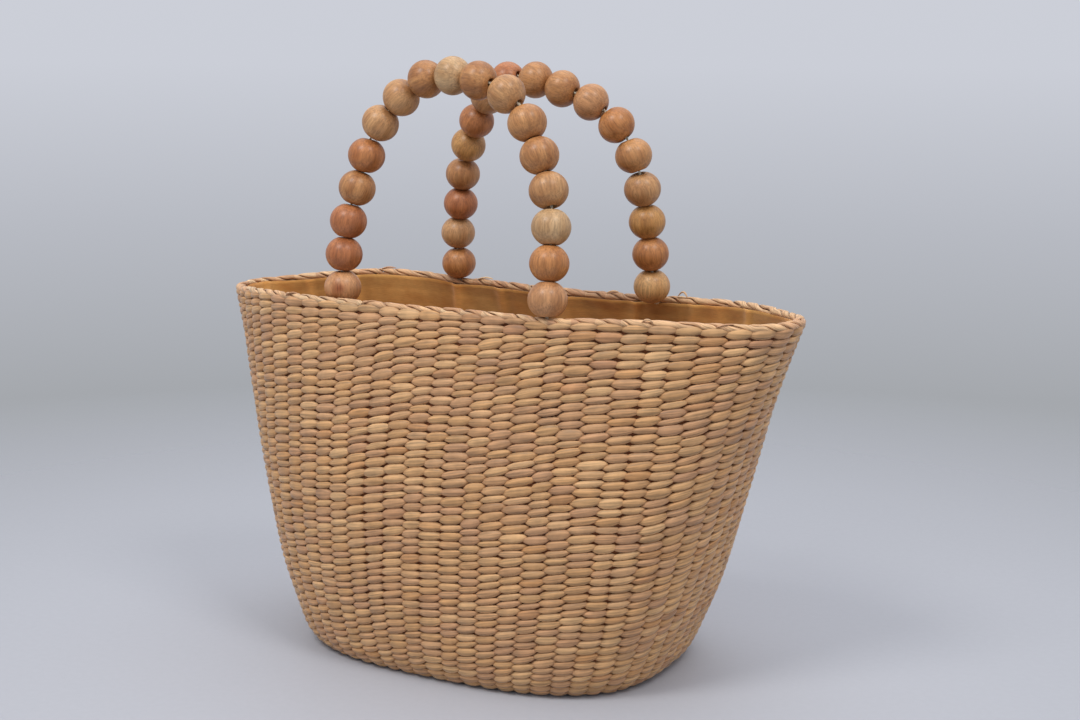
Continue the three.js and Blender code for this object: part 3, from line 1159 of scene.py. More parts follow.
        def lay(place: Array, rise: Array, along: Array, up: Array, out: Array) -> Array:
            """Points of stitches on the skin.

            Args:
                place: Shares of the girth of the stitches' middles.
                rise: Rises of the middles.
                along: Lengths along the girth from the middle.
                up: Lengths up from the middle.
                out: Distances outwards.

            Returns:
                The points.
            """
            return self.skin.at(place + along / self.skin.girth(rise), np.maximum(rise + up, 0), out)

        pieces = []
        names = ("weave_front_right", "weave_back_right", "weave_back_left", "weave_front_left")
        for index, name in enumerate(names):
            inside = (column * len(names)) // self.columns == index
            part = StitchField(**{key: value[inside] for key, value in vars(stitches).items()})
            piece = part.mesh(self.shape, lay, self.seed + 10 + index).to_object(name)
            pieces.append(dress(piece, material, Slot.STRAW, "basket_body"))
        return pieces


@dataclass
class WovenUnderside:
    """The flat woven underside: rows along the bag, inside the rounded corner."""

    skin: Skin
    column_width: float = 11 * MM
    pitch: float = 3.9 * MM
    overlap: float = 1.04
    height_range: tuple[float, float] = (0.92, 1.08)
    plump_range: tuple[float, float] = (0.86, 1.05)
    lean_range: float = 0.04
    scatter_mm: float = 0.12
    seed: int = 31
    shape: StitchShape = field(default_factory=StitchShape)

    def build(self, material: bpy.types.Material) -> bpy.types.Object:
        """Builds the underside.

        Stitches stand in a brick pattern over the whole outline, and those whose middle lies inside it are
        kept.

        Args:
            material: Straw of the stitches.

        Returns:
            The piece.
        """
        dice = np.random.default_rng(self.seed)
        ring = self.skin.points[0, :-1, :2]
        half = np.abs(ring).max(0)
        columns = int(half[0] / self.column_width) + 1
        rows = int(half[1] / self.pitch) + 1
        each_column = np.arange(-columns, columns + 1)
        column, row = np.meshgrid(each_column, np.arange(-rows, rows + 1), indexing="ij")
        x = (column * self.column_width).ravel().astype(float)
        y = ((row + 0.5 * (column % 2)) * self.pitch).ravel()
        angle = np.arctan2(ring[:, 1], ring[:, 0])
        order = np.argsort(angle)
        radius = np.hypot(ring[:, 0], ring[:, 1])
        limit = np.interp(np.arctan2(y, x), angle[order], radius[order], period=2 * np.pi)
        kept = np.hypot(x, y) < limit - 0.5 * MM
        x = x[kept]
        y = y[kept]
        count = len(x)
        stitches = StitchField(
            along=x,
            up=y + dice.normal(0, self.scatter_mm, count) * MM,
            half_length=np.full(count, self.column_width / 2),
            half_height=self.pitch / 2 * self.overlap * dice.uniform(*self.height_range, count),
            tilt=dice.normal(0, self.lean_range, count),
            plump=dice.uniform(*self.plump_range, count),
            tint=dice.random(count),
        )

        def lay(at_x: Array, at_y: Array, along: Array, up: Array, out: Array) -> Array:
            """Points of stitches on the flat underside, where outwards is down.

            Args:
                at_x: X of the stitches' middles.
                at_y: Y of the middles.
                along: Lengths along X from the middle.
                up: Lengths across from the middle.
                out: Distances downwards.

            Returns:
                The points.
            """
            wide = at_x + along + 0 * up
            deep = at_y - up
            return np.stack([wide, deep, -out], -1)

        piece = stitches.mesh(self.shape, lay, self.seed + 1).to_object("weave_underside")
        return dress(piece, material, Slot.STRAW, "basket_body")


@dataclass
class Shell:
    """A closed shell inside the bag's outside: a floor, a wall, and a rim that joins its two skins."""

    skin: Skin
    outer: float
    inner: float
    floor: float
    top: float
    columns: int = 248
    rows: int = 48
    floor_rings: int = 9

    def wall_grid(self) -> tuple[Array, Array]:
        """Places and rises of the wall's points, as a row and a column."""
        place = np.arange(self.columns)[None, :] / self.columns
        return place, np.linspace(self.skin.corner_start, self.top, self.rows)[:, None]

    def skin_rows(self, inset: float, floor: float, ripple: Ripple) -> Array:
        """Rows of points of one skin, from the ring round the middle of the floor up to the rim.

        Args:
            inset: Distance in from the bag's outside.
            floor: Height of this skin's flat floor.
            ripple: Function of place and rise that moves the wall outwards.

        Returns:
            Points by row and column.
        """
        place, rise = self.wall_grid()
        wall = self.skin.at(place, rise, -inset + ripple(place, rise))
        wall[..., 2] = np.maximum(wall[..., 2], floor)
        share = np.linspace(0.08, 0.97, self.floor_rings)[:, None, None]
        flat = wall[:1] * share
        flat[..., 2] = floor
        return np.concatenate([flat, wall])

    def mesh(self, ripple: Ripple) -> MeshData:
        """Builds the shell.

        Args:
            ripple: Function of place and rise that moves both skins of the wall outwards.

        Returns:
            The mesh, with cloth coordinates and the ripple in millimetres.
        """
        inner_floor = self.floor + self.inner - self.outer
        outside = self.skin_rows(self.outer, self.floor, ripple)
        inside = self.skin_rows(self.inner, inner_floor, ripple)[::-1]
        rows = np.concatenate([outside, inside])
        count = len(rows)
        points = np.concatenate([rows.reshape(-1, 3), [[0, 0, self.floor], [0, 0, inner_floor]]])
        side = np.arange(self.columns)
        along = np.tile(side / self.columns * float(self.skin.girths[-1]) / MM, count)
        climb = np.repeat(np.linalg.norm(rows[:, 0] - rows[0, 0], axis=1) / MM, self.columns)
        uv = np.concatenate([np.stack([along, climb], -1), [[0, 0], [0, 0]]])
        # The ripple is kept as the shade value, which the cotton turns into painted shade where the cloth
        # lies further out and painted light where it comes in.
        shade = np.concatenate([np.zeros((self.floor_rings, self.columns)), ripple(*self.wall_grid())])
        shade = np.concatenate([shade, shade[::-1]]).ravel()
        return MeshData(
            points,
            grid_quads(count, self.columns, False, True),
            tip_fans(count, self.columns),
            uv,
            {"shade": np.concatenate([shade, [0, 0]]) / MM},
        )


def no_ripple(place: Array, rise: Array) -> Array:
    """Zero at every place and rise."""
    return 0 * place * rise


@dataclass
class WeaveCore:
    """The inside of the weave, painted dark as shade, which shows only as gaps between the stitches."""

    skin: Skin
    outer: float = 2.9 * MM
    inner: float = 4.3 * MM
    floor: float = 2.9 * MM
    drop: float = 3.4 * MM

    def build(self, material: bpy.types.Material) -> bpy.types.Object:
        """Builds the core.

        Args:
            material: Its straw, painted dark as shade.

        Returns:
            The piece.
        """
        shell = Shell(self.skin, self.outer, self.inner, self.floor, self.skin.top - self.drop)
        piece = shell.mesh(no_ripple).to_object("weave_core")
        return dress(piece, material, Slot.STRAW, "basket_body")


@dataclass
class CottonLining:
    """The cotton lining: a thin shell with upright creases and a hem under the edge."""

    skin: Skin
    outer: float = 4.8 * MM
    inner: float = 6.0 * MM
    floor: float = 5.3 * MM
    drop: float = 3.5 * MM
    hem: float = 5.5 * MM
    crease: float = 0.6 * MM
    crease_reach: float = 50 * MM
    small_crease: float = 0.35
    fold: float = 2.0 * MM
    fold_least: float = 0.4
    fold_growth: float = 0.15
    fold_lean: float = 0.12
    fold_slope: float = 1.4
    fold_sink: float = 0.5
    fold_width: float = 4.0 * MM
    fold_reach: float = 60 * MM
    most_out: float = 0.3 * MM
    seam_depth: float = 0.5 * MM
    seam_width: float = 0.7 * MM
    roll_depth: float = 0.5 * MM
    roll_width: float = 1.2 * MM
    folds: tuple[float, ...] = (
        0.7335, 0.702, 0.662, 0.5805, 0.5365, 0.487, 0.425, 0.385, 0.3285, 0.05, 0.13, 0.21, 0.79, 0.86, 0.93,
    )
    seed: int = 51

    def ripple(self, place: Array, rise: Array) -> Array:
        """How far the cloth stands out.

        Soft creases fade downwards. Each fold is a slope less a sink, times a bell curve of the distance from
        it, so that one of its sides faces the light and the other doesn't. A rolled hem stands inwards at the
        top, with a seam line below it.

        Args:
            place: Shares of the girth.
            rise: Lengths up the profile.

        Returns:
            Distances outwards.
        """
        down = (self.skin.top - self.drop) - rise
        girth = float(self.skin.girths[-1])
        creases = self.crease * soft_noise(place + 0 * rise, self.seed, 6) * np.exp(-down / self.crease_reach)
        small = self.small_crease * self.crease
        creases = creases + small * soft_noise(place * 3 + down * 2.0, self.seed + 1, 6)
        for index, fold in enumerate(self.folds):
            turn = (place - fold + 0.5 + (index % 3 - 1) * self.fold_lean * down) % 1 - 0.5
            off = turn * girth / self.fold_width
            sign = 1 if index % 2 else -1
            size = self.fold * (self.fold_least + self.fold_growth * (index * 3 % 5))
            near = bell(off) * np.exp(-down / self.fold_reach)
            creases = creases + size * (sign * self.fold_slope * off - self.fold_sink) * near
        seam = self.seam_depth * bell((down - self.hem) / self.seam_width)
        roll = self.roll_depth * bell(down / self.roll_width)
        return np.minimum(creases, self.most_out) + seam - roll

    def build(self, material: bpy.types.Material) -> bpy.types.Object:
        """Args:
            material: Its cotton.

        Returns:
            The piece.
        """
        top = self.skin.top - self.drop
        shell = Shell(self.skin, self.outer, self.inner, self.floor, top, columns=496, rows=96)
        piece = shell.mesh(self.ripple).to_object("cotton_lining")
        dress(piece, material, Slot.COTTON, "lining")
        return piece


@dataclass
class TwistedEdge:
    """The edge: two flattened straw strands wrapped round each other along the mouth."""

    skin: Skin
    inset: float = 3.3 * MM
    drop: float = 2.2 * MM
    half_width: float = 2.75 * MM
    half_height: float = 2.05 * MM
    core: float = 0.45
    fall: float = 0.34
    wrap: float = 1.5
    wrap_range: float = 0.1
    wobble: float = 0.1
    swell: float = 0.08
    strand_width: float = 2.6
    tip_power: float = 1.5
    turns: int = 31
    steps: int = 1240
    outer_steps: int = 9
    seed: int = 71

    def ply(self, start: float) -> MeshData:
        """One strand: a flat lobe of an oval section, which turns about the edge's middle line.

        The section is drawn by angle and radius: the outer side runs along the oval and falls away with the
        fourth power towards the lobe's ends, and the inner side is a smaller oval. The lobe's middle angle is
        the place times the number of turns.

        Args:
            start: Angle of the lobe at place 0, as a share of a turn.

        Returns:
            The mesh, closed on itself.
        """
        place = np.arange(self.steps) / self.steps
        girth = float(self.skin.girths[-1])
        level = np.full_like(place, self.skin.top - self.drop)
        centre = self.skin.at(place, level, -self.inset)
        outward = unit(self.skin.at(place, level, MM - self.inset) - centre)
        along = unit(np.roll(centre, -1, 0) - np.roll(centre, 1, 0))
        upward = unit(np.cross(outward, along))
        wobble = self.wobble * soft_noise(place, self.seed, 7)
        wobble = wobble + self.wobble / 2 * soft_noise(place * 4, self.seed + 2, 7)
        angle = -2 * np.pi * (self.turns * place + start + wobble)
        own_seed = self.seed + int(10 * start)
        width = self.wrap * (1 + self.wrap_range * soft_noise(place * 3, own_seed + 1, 7))
        across = np.linspace(-1, 1, self.outer_steps)
        share = np.concatenate([across, across[-2:0:-1]])
        radius = np.concatenate([1 - self.fall * across**4, np.full(self.outer_steps - 2, self.core)])
        turned = angle[:, None] + width[:, None] * share
        swell = 1 + self.swell * soft_noise(place * 2, own_seed + 3, 9)
        sideways = self.half_width * np.cos(turned) * radius * swell[:, None]
        raised = self.half_height * np.sin(turned) * radius * swell[:, None]
        across_edge = outward[:, None] * sideways[..., None]
        points = centre[:, None] + across_edge + upward[:, None] * raised[..., None]
        half_turn = np.floor(2 * (self.turns * place + start)).astype(int)
        tint = np.random.default_rng(self.seed + 5).random(half_turn.max() + 2)[half_turn]
        sides = len(share)
        # The tip value darkens the strand towards the lobe's ends in the straw's material: painted shade
        # where the strands wrap under each other.
        tip = np.broadcast_to(np.abs(share) ** self.tip_power, (self.steps, sides))
        return MeshData(
            points.reshape(-1, 3),
            grid_quads(self.steps, sides, True, True)[:, ::-1],
            uv=strand_grid(place * girth / MM, share * self.strand_width),
            values={"tint": np.repeat(tint, sides), "tip": tip.ravel()},
        )

    def build(self, material: bpy.types.Material) -> bpy.types.Object:
        """Builds both strands as one piece."""
        piece = merged([self.ply(0.0), self.ply(0.5)]).to_object("twisted_edge")
        return dress(piece, material, Slot.EDGE, "rim_edge")


@dataclass(frozen=True)
class LooseStrand:
    """A short loose strand on the edge: an arc that bulges up and outwards at its middle.

    Both ends hold the place as a share of the girth, and the drop below the top and the distance outwards in
    millimetres. The rise and the bulge are in millimetres too.
    """

    start: Point
    end: Point
    rise: float
    bulge: float
    tint: float


@dataclass
class FrayedEnds:
    """Loose strands along the edge, such as the small loop beside the last bead of the back handle."""

    skin: Skin
    strands: tuple[LooseStrand, ...]
    half_width: float = 0.95 * MM
    half_thick: float = 0.45 * MM
    end_share: float = 0.25
    strand_length: float = 8.0
    strand_girth: float = 0.6
    # Every point gets this share towards the tip, which gives the whole strand a slight painted shade in the
    # straw's material.
    tip: float = 0.3
    steps: int = 22
    sides: int = 8

    def strand(self, loose: LooseStrand) -> MeshData:
        """One strand: a flat oval section along the arc, which narrows to a point at both ends.

        Args:
            loose: Its ends, and the height and bulge of its arc.

        Returns:
            The mesh.
        """
        t = np.linspace(0, 1, self.steps)
        start = np.array(loose.start) * [1, MM, MM]
        end = np.array(loose.end) * [1, MM, MM]
        along = start + (end - start) * t[:, None]
        arch = 4 * t * (1 - t)
        place = along[:, 0]
        rise = self.skin.top - along[:, 1]
        out = along[:, 2]
        path = self.skin.at(place, rise, out + loose.bulge * MM * arch)
        path[:, 2] += loose.rise * MM * arch
        ahead = unit(np.gradient(path, axis=0))
        outward = unit(self.skin.at(place, rise, out + MM) - self.skin.at(place, rise, out))
        wide = unit(outward - ahead * (outward * ahead).sum(-1, keepdims=True))
        thick = np.cross(ahead, wide)
        turn = ring_angles(self.sides)
        narrow = (self.end_share + (1 - self.end_share) * np.sin(np.pi * t) ** 0.5)[:, None, None]
        section = wide[:, None] * (self.half_width * np.cos(turn))[None, :, None]
        section = section + thick[:, None] * (self.half_thick * np.sin(turn))[None, :, None]
        points = np.concatenate([(path[:, None] + section * narrow).reshape(-1, 3), path[:1], path[-1:]])
        count = len(points)
        uv = strand_grid(t * self.strand_length, turn * self.strand_girth)
        return MeshData(
            points,
            grid_quads(self.steps, self.sides, False, True),
            tip_fans(self.steps, self.sides),
            np.concatenate([uv, uv[:1], uv[-1:]]),
            {"tint": np.full(count, loose.tint), "tip": np.full(count, self.tip)},
        )

    def build(self, material: bpy.types.Material) -> bpy.types.Object:
        """Builds every loose strand as one piece."""
        piece = merged([self.strand(loose) for loose in self.strands]).to_object("loose_strands")
        return dress(piece, material, Slot.EDGE, "rim_edge")


@dataclass
class BeadPlace:
    """Where one bead of the frame is: its middle, the direction and length of its bore, and its room.

    The room is the distance that it may grow at its first and at its last end.
    """

    node: str
    middle: Array
    axis: Array
    length: float
    room: list[float] = field(default_factory=lambda: [0.0, 0.0])


@dataclass(frozen=True)
class Knot:
    """A brown knot of the wood, seen from the bead's middle: a dark core and a wide, weak halo."""

    towards: Point
    core: float = 0.24
    core_share: float = 0.55
    halo: float = 0.7
    halo_share: float = 0.45

    def brown(self, local: Array) -> Array:
        """Sum of two bell curves of the distance from the knot, on a ball of radius one.

        Args:
            local: Points from the bead's middle.

        Returns:
            Share of brown at each point.
        """
        off = np.linalg.norm(unit(local) - unit(np.array(self.towards)), axis=-1)
        return self.core_share * bell(off / self.core) + self.halo_share * bell(off / self.halo)


@dataclass
class BeadString:
    """One handle: turned beads on a thread that ends inside the wall."""

    skin: Skin
    side: str
    woods: tuple[Wood, ...]
    radius: float = 10 * MM
    flat: float = 3.9 * MM
    bore: float = 2.4 * MM
    lip: float = 0.5 * MM
    softening: float = 0.08 * MM
    touch: float = 4.0 * MM
    most_room: float = 0.7 * MM
    around: int = 40
    arc_rows: int = 20
    lip_rows: int = 4
    grain_room: float = 300.0
    thread_radius: float = 0.9 * MM
    strand_away: float = 0.44
    strand_thick: float = 0.55
    tail: float = 5 * MM
    tail_inset: float = 3.4 * MM
    thread_steps: int = 560
    thread_sides: ClassVar[int] = 6
    twist_length: float = 5 * MM
    knots: dict[int, Knot] = field(default_factory=dict)
    seed: int = 91

    def places(self) -> list[BeadPlace]:
        """Reads each bead's place from the frame's own solid.

        Its middle is the mean of its points, and its bore runs along the direction in which they spread most,
        because both of its flat ends carry two rings of points. Each end also gets the room that is left
        before it touches the next bead.

        Returns:
            The places, from the left leg to the right one.
        """
        found = []
        for index in range(len(self.woods)):
            name = f"{self.side}_bead_{index + 1:02d}"
            node = frame["nodes"][name]
            raw = np.empty(len(node.data.vertices) * 3, np.float32)
            node.data.vertices.foreach_get("co", raw)
            points = np.unique(raw.reshape(-1, 3).round(7), axis=0).astype(float)
            middle = points.mean(0)
            directions = np.linalg.eigh(np.cov((points - middle).T))[1]
            axis = directions[:, 2]
            length = float(np.ptp((points - middle) @ axis))
            found.append(BeadPlace(name, middle, axis, length))
        for index, bead in enumerate(found):
            ahead = found[min(index + 1, len(found) - 1)].middle - found[max(index - 1, 0)].middle
            if bead.axis @ ahead < 0:
                bead.axis = -bead.axis
        for first, second in zip(found, found[1:]):
            between = float(np.linalg.norm(second.middle - first.middle)) - first.length
            bend = math.acos(min(1.0, float(first.axis @ second.axis)))
            room = max(0.0, min(between / 2 - self.touch * math.tan(bend / 2), self.most_room))
            first.room[1] = room
            second.room[0] = room
        return found

    def bead(self, place: BeadPlace, index: int) -> MeshData:
        """One bead: a profile turned round the bore.

        The profile runs up the bore, over a small round lip and the flat, and back along an ellipse.

        Args:
            place: Where the bead is.
            index: Number of the bead, for its own grain.

        Returns:
            The mesh, with its own coordinates in millimetres as grain.
        """
        half = place.length / 2
        edge = math.acos(self.flat / self.radius)
        arc = np.linspace(edge, -edge, self.arc_rows)
        side = half / math.sin(edge)
        turn = np.linspace(0, np.pi / 2, self.lip_rows)
        lip_out = self.bore + self.lip * (1 - np.cos(turn))
        lip_along = half - self.lip + self.lip * np.sin(turn)
        rise = np.stack([lip_out, lip_along], -1)
        ball = np.stack([self.radius * np.cos(arc), side * np.sin(arc)], -1)
        ball[0, 1] -= self.softening
        ball[-1, 1] += self.softening
        profile = np.concatenate([[[self.bore, 0]], rise, ball, rise[::-1] * [1, -1]])
        angle = ring_angles(self.around)
        beside = [0.0, 1.0, 0.0] if abs(place.axis[1]) < 0.8 else [1.0, 0.0, 0.0]
        first = unit(np.cross(place.axis, beside))
        second = np.cross(place.axis, first)
        radial = circling(first, second, angle)
        stretch = np.where(profile[:, 1] > 0, place.room[1], -place.room[0])
        profile[:, 1] += stretch * (np.abs(profile[:, 1]) / half) ** 2
        local = profile[:, None, :1] * radial[None] + profile[:, None, 1:] * place.axis
        points = place.middle + local
        dice = np.random.default_rng(self.seed + index)
        own = np.stack([(local @ first), (local @ second), (local @ place.axis)], -1) / MM
        own = own + dice.random(3) * self.grain_room
        knot = np.zeros(own.shape[:2])
        if index in self.knots:
            knot = self.knots[index].brown(local)
        return MeshData(
            points.reshape(-1, 3),
            grid_quads(len(profile), self.around, True, True)[:, ::-1],
            values={"grain": own.reshape(-1, 3), "knot": knot.ravel()},
        )

    def thread_path(self, places: list[BeadPlace]) -> Array:
        """Middle line of the thread: from inside one wall, through each bead, to inside the other wall.

        Args:
            places: The beads' places.

        Returns:
            Points along the line.
        """
        ring_place = np.arange(self.skin.form.places) / self.skin.form.places
        ring = self.skin.at(ring_place, np.full_like(ring_place, self.skin.top))
        ends = []
        for bead, sign in ((places[0], -1), (places[-1], 1)):
            foot = bead.middle + bead.axis * sign * bead.length / 2
            near = np.hypot(ring[:, 0] - foot[0], ring[:, 1] - foot[1]).argmin()
            ends.append(self.skin.at(ring_place[near], np.array(self.skin.top - self.tail), -self.tail_inset))
        knots = [ends[0]]
        for bead in places:
            reach = bead.axis * (bead.length / 2)
            knots += [bead.middle - reach, bead.middle, bead.middle + reach]
        return np.array([*knots, ends[1]])

    def thread(self, places: list[BeadPlace]) -> MeshData:
        """The thread: two thin strands that twist round the middle line, closed at both ends.

        Each strand's middle goes round the line on a circle, once for each twist length, and its section is a
        hexagon. The line itself is smoothed by the mean of five neighbours.

        Args:
            places: The beads' places.

        Returns:
            The mesh.
        """
        knots = self.thread_path(places)
        length = lengths_along(knots)
        at = np.linspace(0, length[-1], self.thread_steps)
        path = points_along(knots, length, at)
        weights = np.array([1, 2, 3, 2, 1]) / 9
        padded = np.concatenate([path[:1]] * 2 + [path] + [path[-1:]] * 2)
        path = sum(weight * padded[index : index + len(path)] for index, weight in enumerate(weights))
        ahead = unit(np.gradient(path, axis=0))
        first = unit(np.cross(ahead, [0.0, 1.0 if self.side == "front" else -1.0, 0.0]))
        second = np.cross(ahead, first)
        sides = self.thread_sides
        turn = ring_angles(sides)
        rim = circling(first[:, None], second[:, None], turn[None, :])
        quads = grid_quads(self.thread_steps, sides, False, True)
        fan = np.array([[0, 2, 1], [0, 3, 2], [0, 4, 3], [0, 5, 4]])
        caps = np.concatenate([fan, (self.thread_steps - 1) * sides + fan[:, [0, 2, 1]]])
        uv = strand_grid(at / MM, turn)
        parts = []
        for start in (0.0, np.pi):
            twist = 2 * np.pi * at / self.twist_length + start
            away = circling(first, second, twist)
            middle = path + away * (self.strand_away * self.thread_radius)
            points = middle[:, None] + rim * self.strand_thick * self.thread_radius
            parts.append(MeshData(points.reshape(-1, 3), quads, caps, uv))
        return merged(parts)

    def build(
        self,
        materials: dict[Wood, bpy.types.Material],
        nylon: bpy.types.Material,
    ) -> list[bpy.types.Object]:
        """Builds the beads and the thread.

        Args:
            materials: Material of each wood.
            nylon: Material of the thread.

        Returns:
            The pieces.
        """
        places = self.places()
        pieces = []
        for index, (place, wood) in enumerate(zip(places, self.woods)):
            piece = self.bead(place, index).to_object(f"turned_{place.node}")
            pieces.append(dress(piece, materials[wood], Slot.WOOD, place.node))
        thread = self.thread(places).to_object(f"twisted_{self.side}_thread")
        pieces.append(dress(thread, nylon, Slot.NYLON, f"{self.side}_thread"))
        return pieces


@dataclass(frozen=True)
class SoftLamp:
    """One square area light that shines at the bag, with its side in metres and its power in watts."""

    name: str
    where: Point
    size: float
    power: float
    tone: Rgb
    aim: Point = (0.0, 0.0, 0.1)

    def build(self) -> None:
        """Adds the light to the scene."""
        data = bpy.data.lights.new(self.name, "AREA")
        data.shape = "SQUARE"
        data.size = self.size
        data.energy = self.power
        data.color = self.tone
        lamp = bpy.data.objects.new(self.name, data)
        lamp.location = self.where
        lamp.rotation_mode = "QUATERNION"
        lamp.rotation_quaternion = (Vector(self.aim) - Vector(self.where)).to_track_quat("-Z", "Y")
        bpy.context.scene.collection.objects.link(lamp)


@dataclass(frozen=True)
class Studio:
    """The floor, the soft light and the camera at the photograph's angle."""

    azimuth: float = 28.48
    elevation: float = 9.49
    distance: float = 845.91 * MM
    target: Point = (25.83 * MM, 0.0, 161.74 * MM)
    roll: float = 0.27
    focal_pixels: float = 1567.17
    photo_width: int = 1080
    sensor: float = 36.0
    room: tuple[tuple[float, Rgb], ...] = (
        (0.2, (176, 179, 186)),
        (0.32, (165, 168, 173)),
        (0.42, (183, 186, 194)),
        (0.52, (203, 206, 215)),
        (1.0, (214, 216, 224)),
    )
    floor_tone: Rgb = (174, 176, 183)
    floor_reach: float = 3.2
    floor_level: float = -0.2 * MM
    floor_fade: tuple[float, float] = (0.12, 0.85)
    floor_rings: int = 23
    floor_columns: int = 96
    lamps: tuple[SoftLamp, ...] = (
        SoftLamp("left", (-0.25, -0.9, 1.4), 0.5, 11, (1.0, 0.985, 0.96)),
        SoftLamp("right", (0.85, -0.4, 1.4), 0.5, 7, (1.0, 0.985, 0.96)),
        SoftLamp("top", (0.0, 0.5, 1.6), 1.4, 6, (0.98, 0.99, 1.0)),
    )

    def camera(self) -> None:
        """Makes the camera, which looks at the target, turned by the azimuth and the elevation."""
        azimuth = math.radians(self.azimuth)
        elevation = math.radians(self.elevation)
        roll = math.radians(self.roll)
        back = Vector((
            math.sin(azimuth) * math.cos(elevation),
            -math.cos(azimuth) * math.cos(elevation),
            math.sin(elevation),
        ))
        right = Vector((math.cos(azimuth), math.sin(azimuth), 0))
        up = back.cross(right)
        turned_right = math.cos(roll) * right + math.sin(roll) * up
        turned_up = -math.sin(roll) * right + math.cos(roll) * up
        data = bpy.data.cameras.new("camera")
        data.sensor_width = self.sensor
        data.lens = self.focal_pixels / self.photo_width * self.sensor
        data.clip_start = 0.01
        data.clip_end = 50
        camera = bpy.data.objects.new("camera", data)
        turn = Matrix((turned_right, turned_up, back)).transposed().to_4x4()
        camera.matrix_world = Matrix.Translation(Vector(self.target) + back * self.distance) @ turn
        bpy.context.scene.collection.objects.link(camera)
        bpy.context.scene.camera = camera

    def world(self) -> None:
        """Makes the pale room, whose grey changes with the height of the direction looked in."""
        world = bpy.data.worlds.new("room")
        bpy.context.scene.world = world
        nodes = NodeTree(world)
        split = nodes.add("ShaderNodeSeparateXYZ")
        nodes.plug(split.inputs[0], nodes.add("ShaderNodeTexCoord").outputs["Generated"])
        shader = nodes.add("ShaderNodeBackground")
        nodes.plug(shader.inputs["Color"], nodes.ramp(nodes.math("ADD", split.outputs["Z"], 0.5), self.room))
        nodes.close("ShaderNodeOutputWorld", shader.outputs["Background"])

    def floor(self) -> None:
        """Makes the pale floor: a round sheet that fades into the room far away."""
        reach = self.floor_reach * np.linspace(0, 1, self.floor_rings + 1)[1:] ** 1.5
        angle = ring_angles(self.floor_columns)
        ring = np.stack([
            reach[:, None] * np.cos(angle),
            reach[:, None] * np.sin(angle),
            np.full((self.floor_rings, self.floor_columns), self.floor_level),
        ], -1).reshape(-1, 3)
        side = np.arange(self.floor_columns)
        points = np.concatenate([ring, [[0, 0, self.floor_level]]])
        fan = np.stack([side, (side + 1) % self.floor_columns, np.full_like(side, len(ring))], -1)
        quads = grid_quads(self.floor_rings, self.floor_columns, False, True)[:, ::-1]
        piece = MeshData(points, quads, fan).to_object("floor")
        nodes = NodeTree(bpy.data.materials.new("pale_floor"))
        place = nodes.add("ShaderNodeTexCoord").outputs["Object"]
        far = nodes.add("ShaderNodeVectorMath", operation="LENGTH")
        nodes.plug(far.inputs[0], place)
        grain = nodes.noise(place, (1, 1, 1), 260.0, 3)
        shader = nodes.add("ShaderNodeBsdfPrincipled")
        tone = nodes.shade(colour(*self.floor_tone), grain, 0.985, 1.01, 0.3, 0.7)
        nodes.plug(shader.inputs["Base Color"], tone)
        shader.inputs["Roughness"].default_value = 0.62
        mix = nodes.add("ShaderNodeMixShader")
        nodes.plug(mix.inputs[0], nodes.spread(far.outputs["Value"], 0, 1, *self.floor_fade))
        nodes.plug(mix.inputs[1], shader.outputs["BSDF"])
        nodes.plug(mix.inputs[2], nodes.add("ShaderNodeBsdfTransparent").outputs["BSDF"])
        nodes.close("ShaderNodeOutputMaterial", mix.outputs[0])
        piece.data.materials.append(nodes.owner)

    def build(self) -> None:
        """Builds the studio."""
        self.world()
        self.floor()
        for lamp in self.lamps:
            lamp.build()
        self.camera()
        bpy.context.scene.view_settings.view_transform = "Standard"


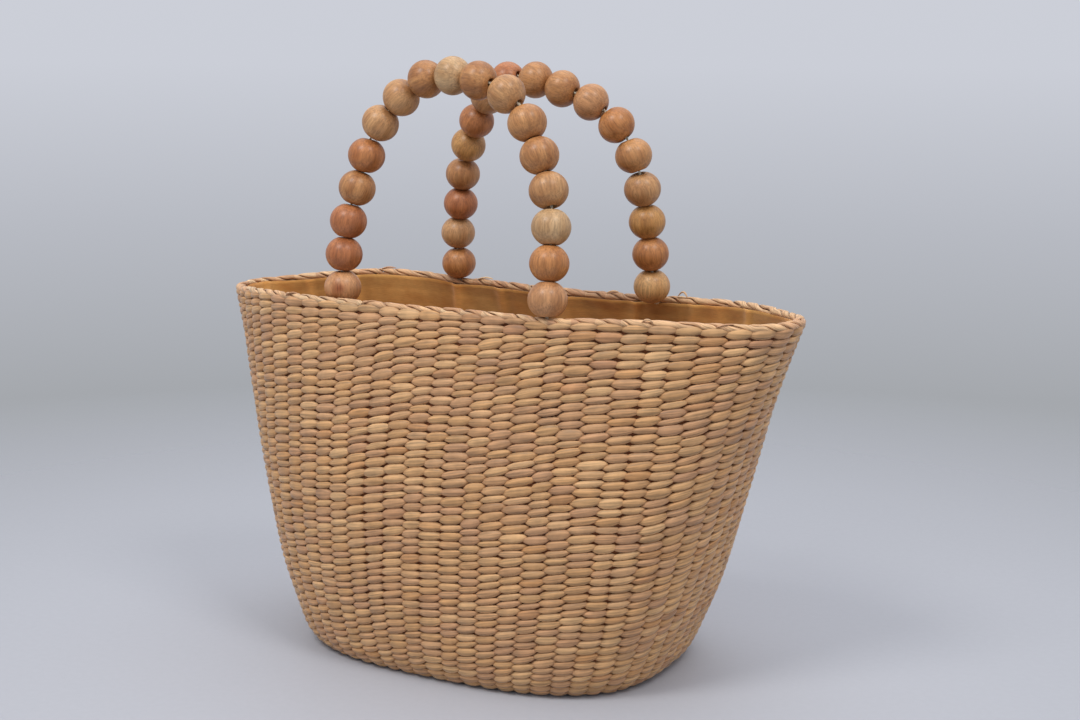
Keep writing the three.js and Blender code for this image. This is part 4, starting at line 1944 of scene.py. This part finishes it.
STRAW_TONES = (
    (0.0, (194, 147, 98)),
    (0.18, (189, 143, 102)),
    (0.34, (200, 156, 107)),
    (0.5, (196, 149, 99)),
    (0.64, (187, 141, 102)),
    (0.76, (208, 165, 116)),
    (0.9, (191, 140, 89)),
    (1.0, (183, 135, 98)),
)
EDGE_TONES = (
    (0.0, (204, 157, 115)),
    (0.3, (222, 179, 132)),
    (0.55, (197, 148, 108)),
    (0.8, (229, 193, 148)),
    (1.0, (191, 142, 101)),
)
LOOSE_STRANDS = (
    LooseStrand((0.3975, 0.6, -2.4), (0.3905, 0.4, -2.4), rise=2.6, bulge=0.4, tint=0.3),
    LooseStrand((0.3975, 0.6, -3.4), (0.3905, 0.4, -3.4), rise=0.5, bulge=-1.0, tint=0.8),
    LooseStrand((0.1405, 1.2, -1.0), (0.1475, 1.2, -1.0), rise=1.5, bulge=0.5, tint=0.9),
    LooseStrand((0.186, 2.2, -0.6), (0.197, 0.4, -2.6), rise=0.7, bulge=0.3, tint=0.55),
    LooseStrand((0.938, 2.4, -0.4), (0.949, 0.3, -2.8), rise=0.6, bulge=0.4, tint=0.0),
    LooseStrand((0.873, 2.0, -0.6), (0.882, 0.3, -2.4), rise=0.8, bulge=0.3, tint=1.0),
    LooseStrand((0.452, 0.5, -4.6), (0.443, 0.2, -2.4), rise=1.0, bulge=0.0, tint=0.3),
    LooseStrand((0.56, 0.4, -4.8), (0.548, 0.3, -2.0), rise=0.9, bulge=0.0, tint=0.8),
    LooseStrand((0.642, 0.5, -4.8), (0.631, 0.2, -2.4), rise=0.8, bulge=0.0, tint=0.55),
)
FRONT_WOODS = (
    Wood.WARM_CREAM, Wood.RED_BROWN, Wood.RED_BROWN, Wood.TAN, Wood.ORANGE_BROWN, Wood.PALE_TAN,
    Wood.PALE_TAN, Wood.TAN, Wood.CREAM, Wood.TAN, Wood.PALE_TAN, Wood.TAN, Wood.TAN, Wood.PALE_TAN,
    Wood.CREAM, Wood.ORANGE_TAN, Wood.PINK_TAN,
)
FRONT_KNOTS = {0: Knot((0.44, -0.88, 0.07))}
BACK_WOODS = (
    Wood.ORANGE_TAN, Wood.PALE_TAN, Wood.RED_BROWN, Wood.TAN, Wood.YELLOW_TAN, Wood.ORANGE_BROWN,
    Wood.PALE_TAN, Wood.RED_BROWN, Wood.TAN, Wood.TAN, Wood.PINK_TAN, Wood.ORANGE_TAN, Wood.TAN,
    Wood.PALE_TAN, Wood.YELLOW_TAN, Wood.ORANGE_TAN, Wood.YELLOW_CREAM,
)


def main() -> None:
    """Builds every piece in order."""
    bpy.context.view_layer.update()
    skin = Skin(BagForm())
    straw = StrawFinish("woven_straw", STRAW_TONES).material()
    edge_straw = StrawFinish("edge_straw", EDGE_TONES, tip_shade=0.5).material()
    # The weave's core is painted shade: dark brown straw where only shade falls between the stitches.
    WeaveCore(skin).build(PlainFinish("weave_shadow", (122, 74, 46)).material())
    WovenWall(skin).build(straw)
    WovenUnderside(skin).build(straw)
    TwistedEdge(skin).build(edge_straw)
    FrayedEnds(skin, LOOSE_STRANDS).build(edge_straw)
    CottonLining(skin).build(CottonFinish().material())
    woods = {wood: WoodFinish(f"wood_{wood.name.lower()}", wood.value).material() for wood in Wood}
    nylon = NylonFinish().material()
    BeadString(skin, "front", FRONT_WOODS, knots=FRONT_KNOTS).build(woods, nylon)
    BeadString(skin, "back", BACK_WOODS, seed=191).build(woods, nylon)
    Studio().build()


if __name__ == "__main__":
    main()
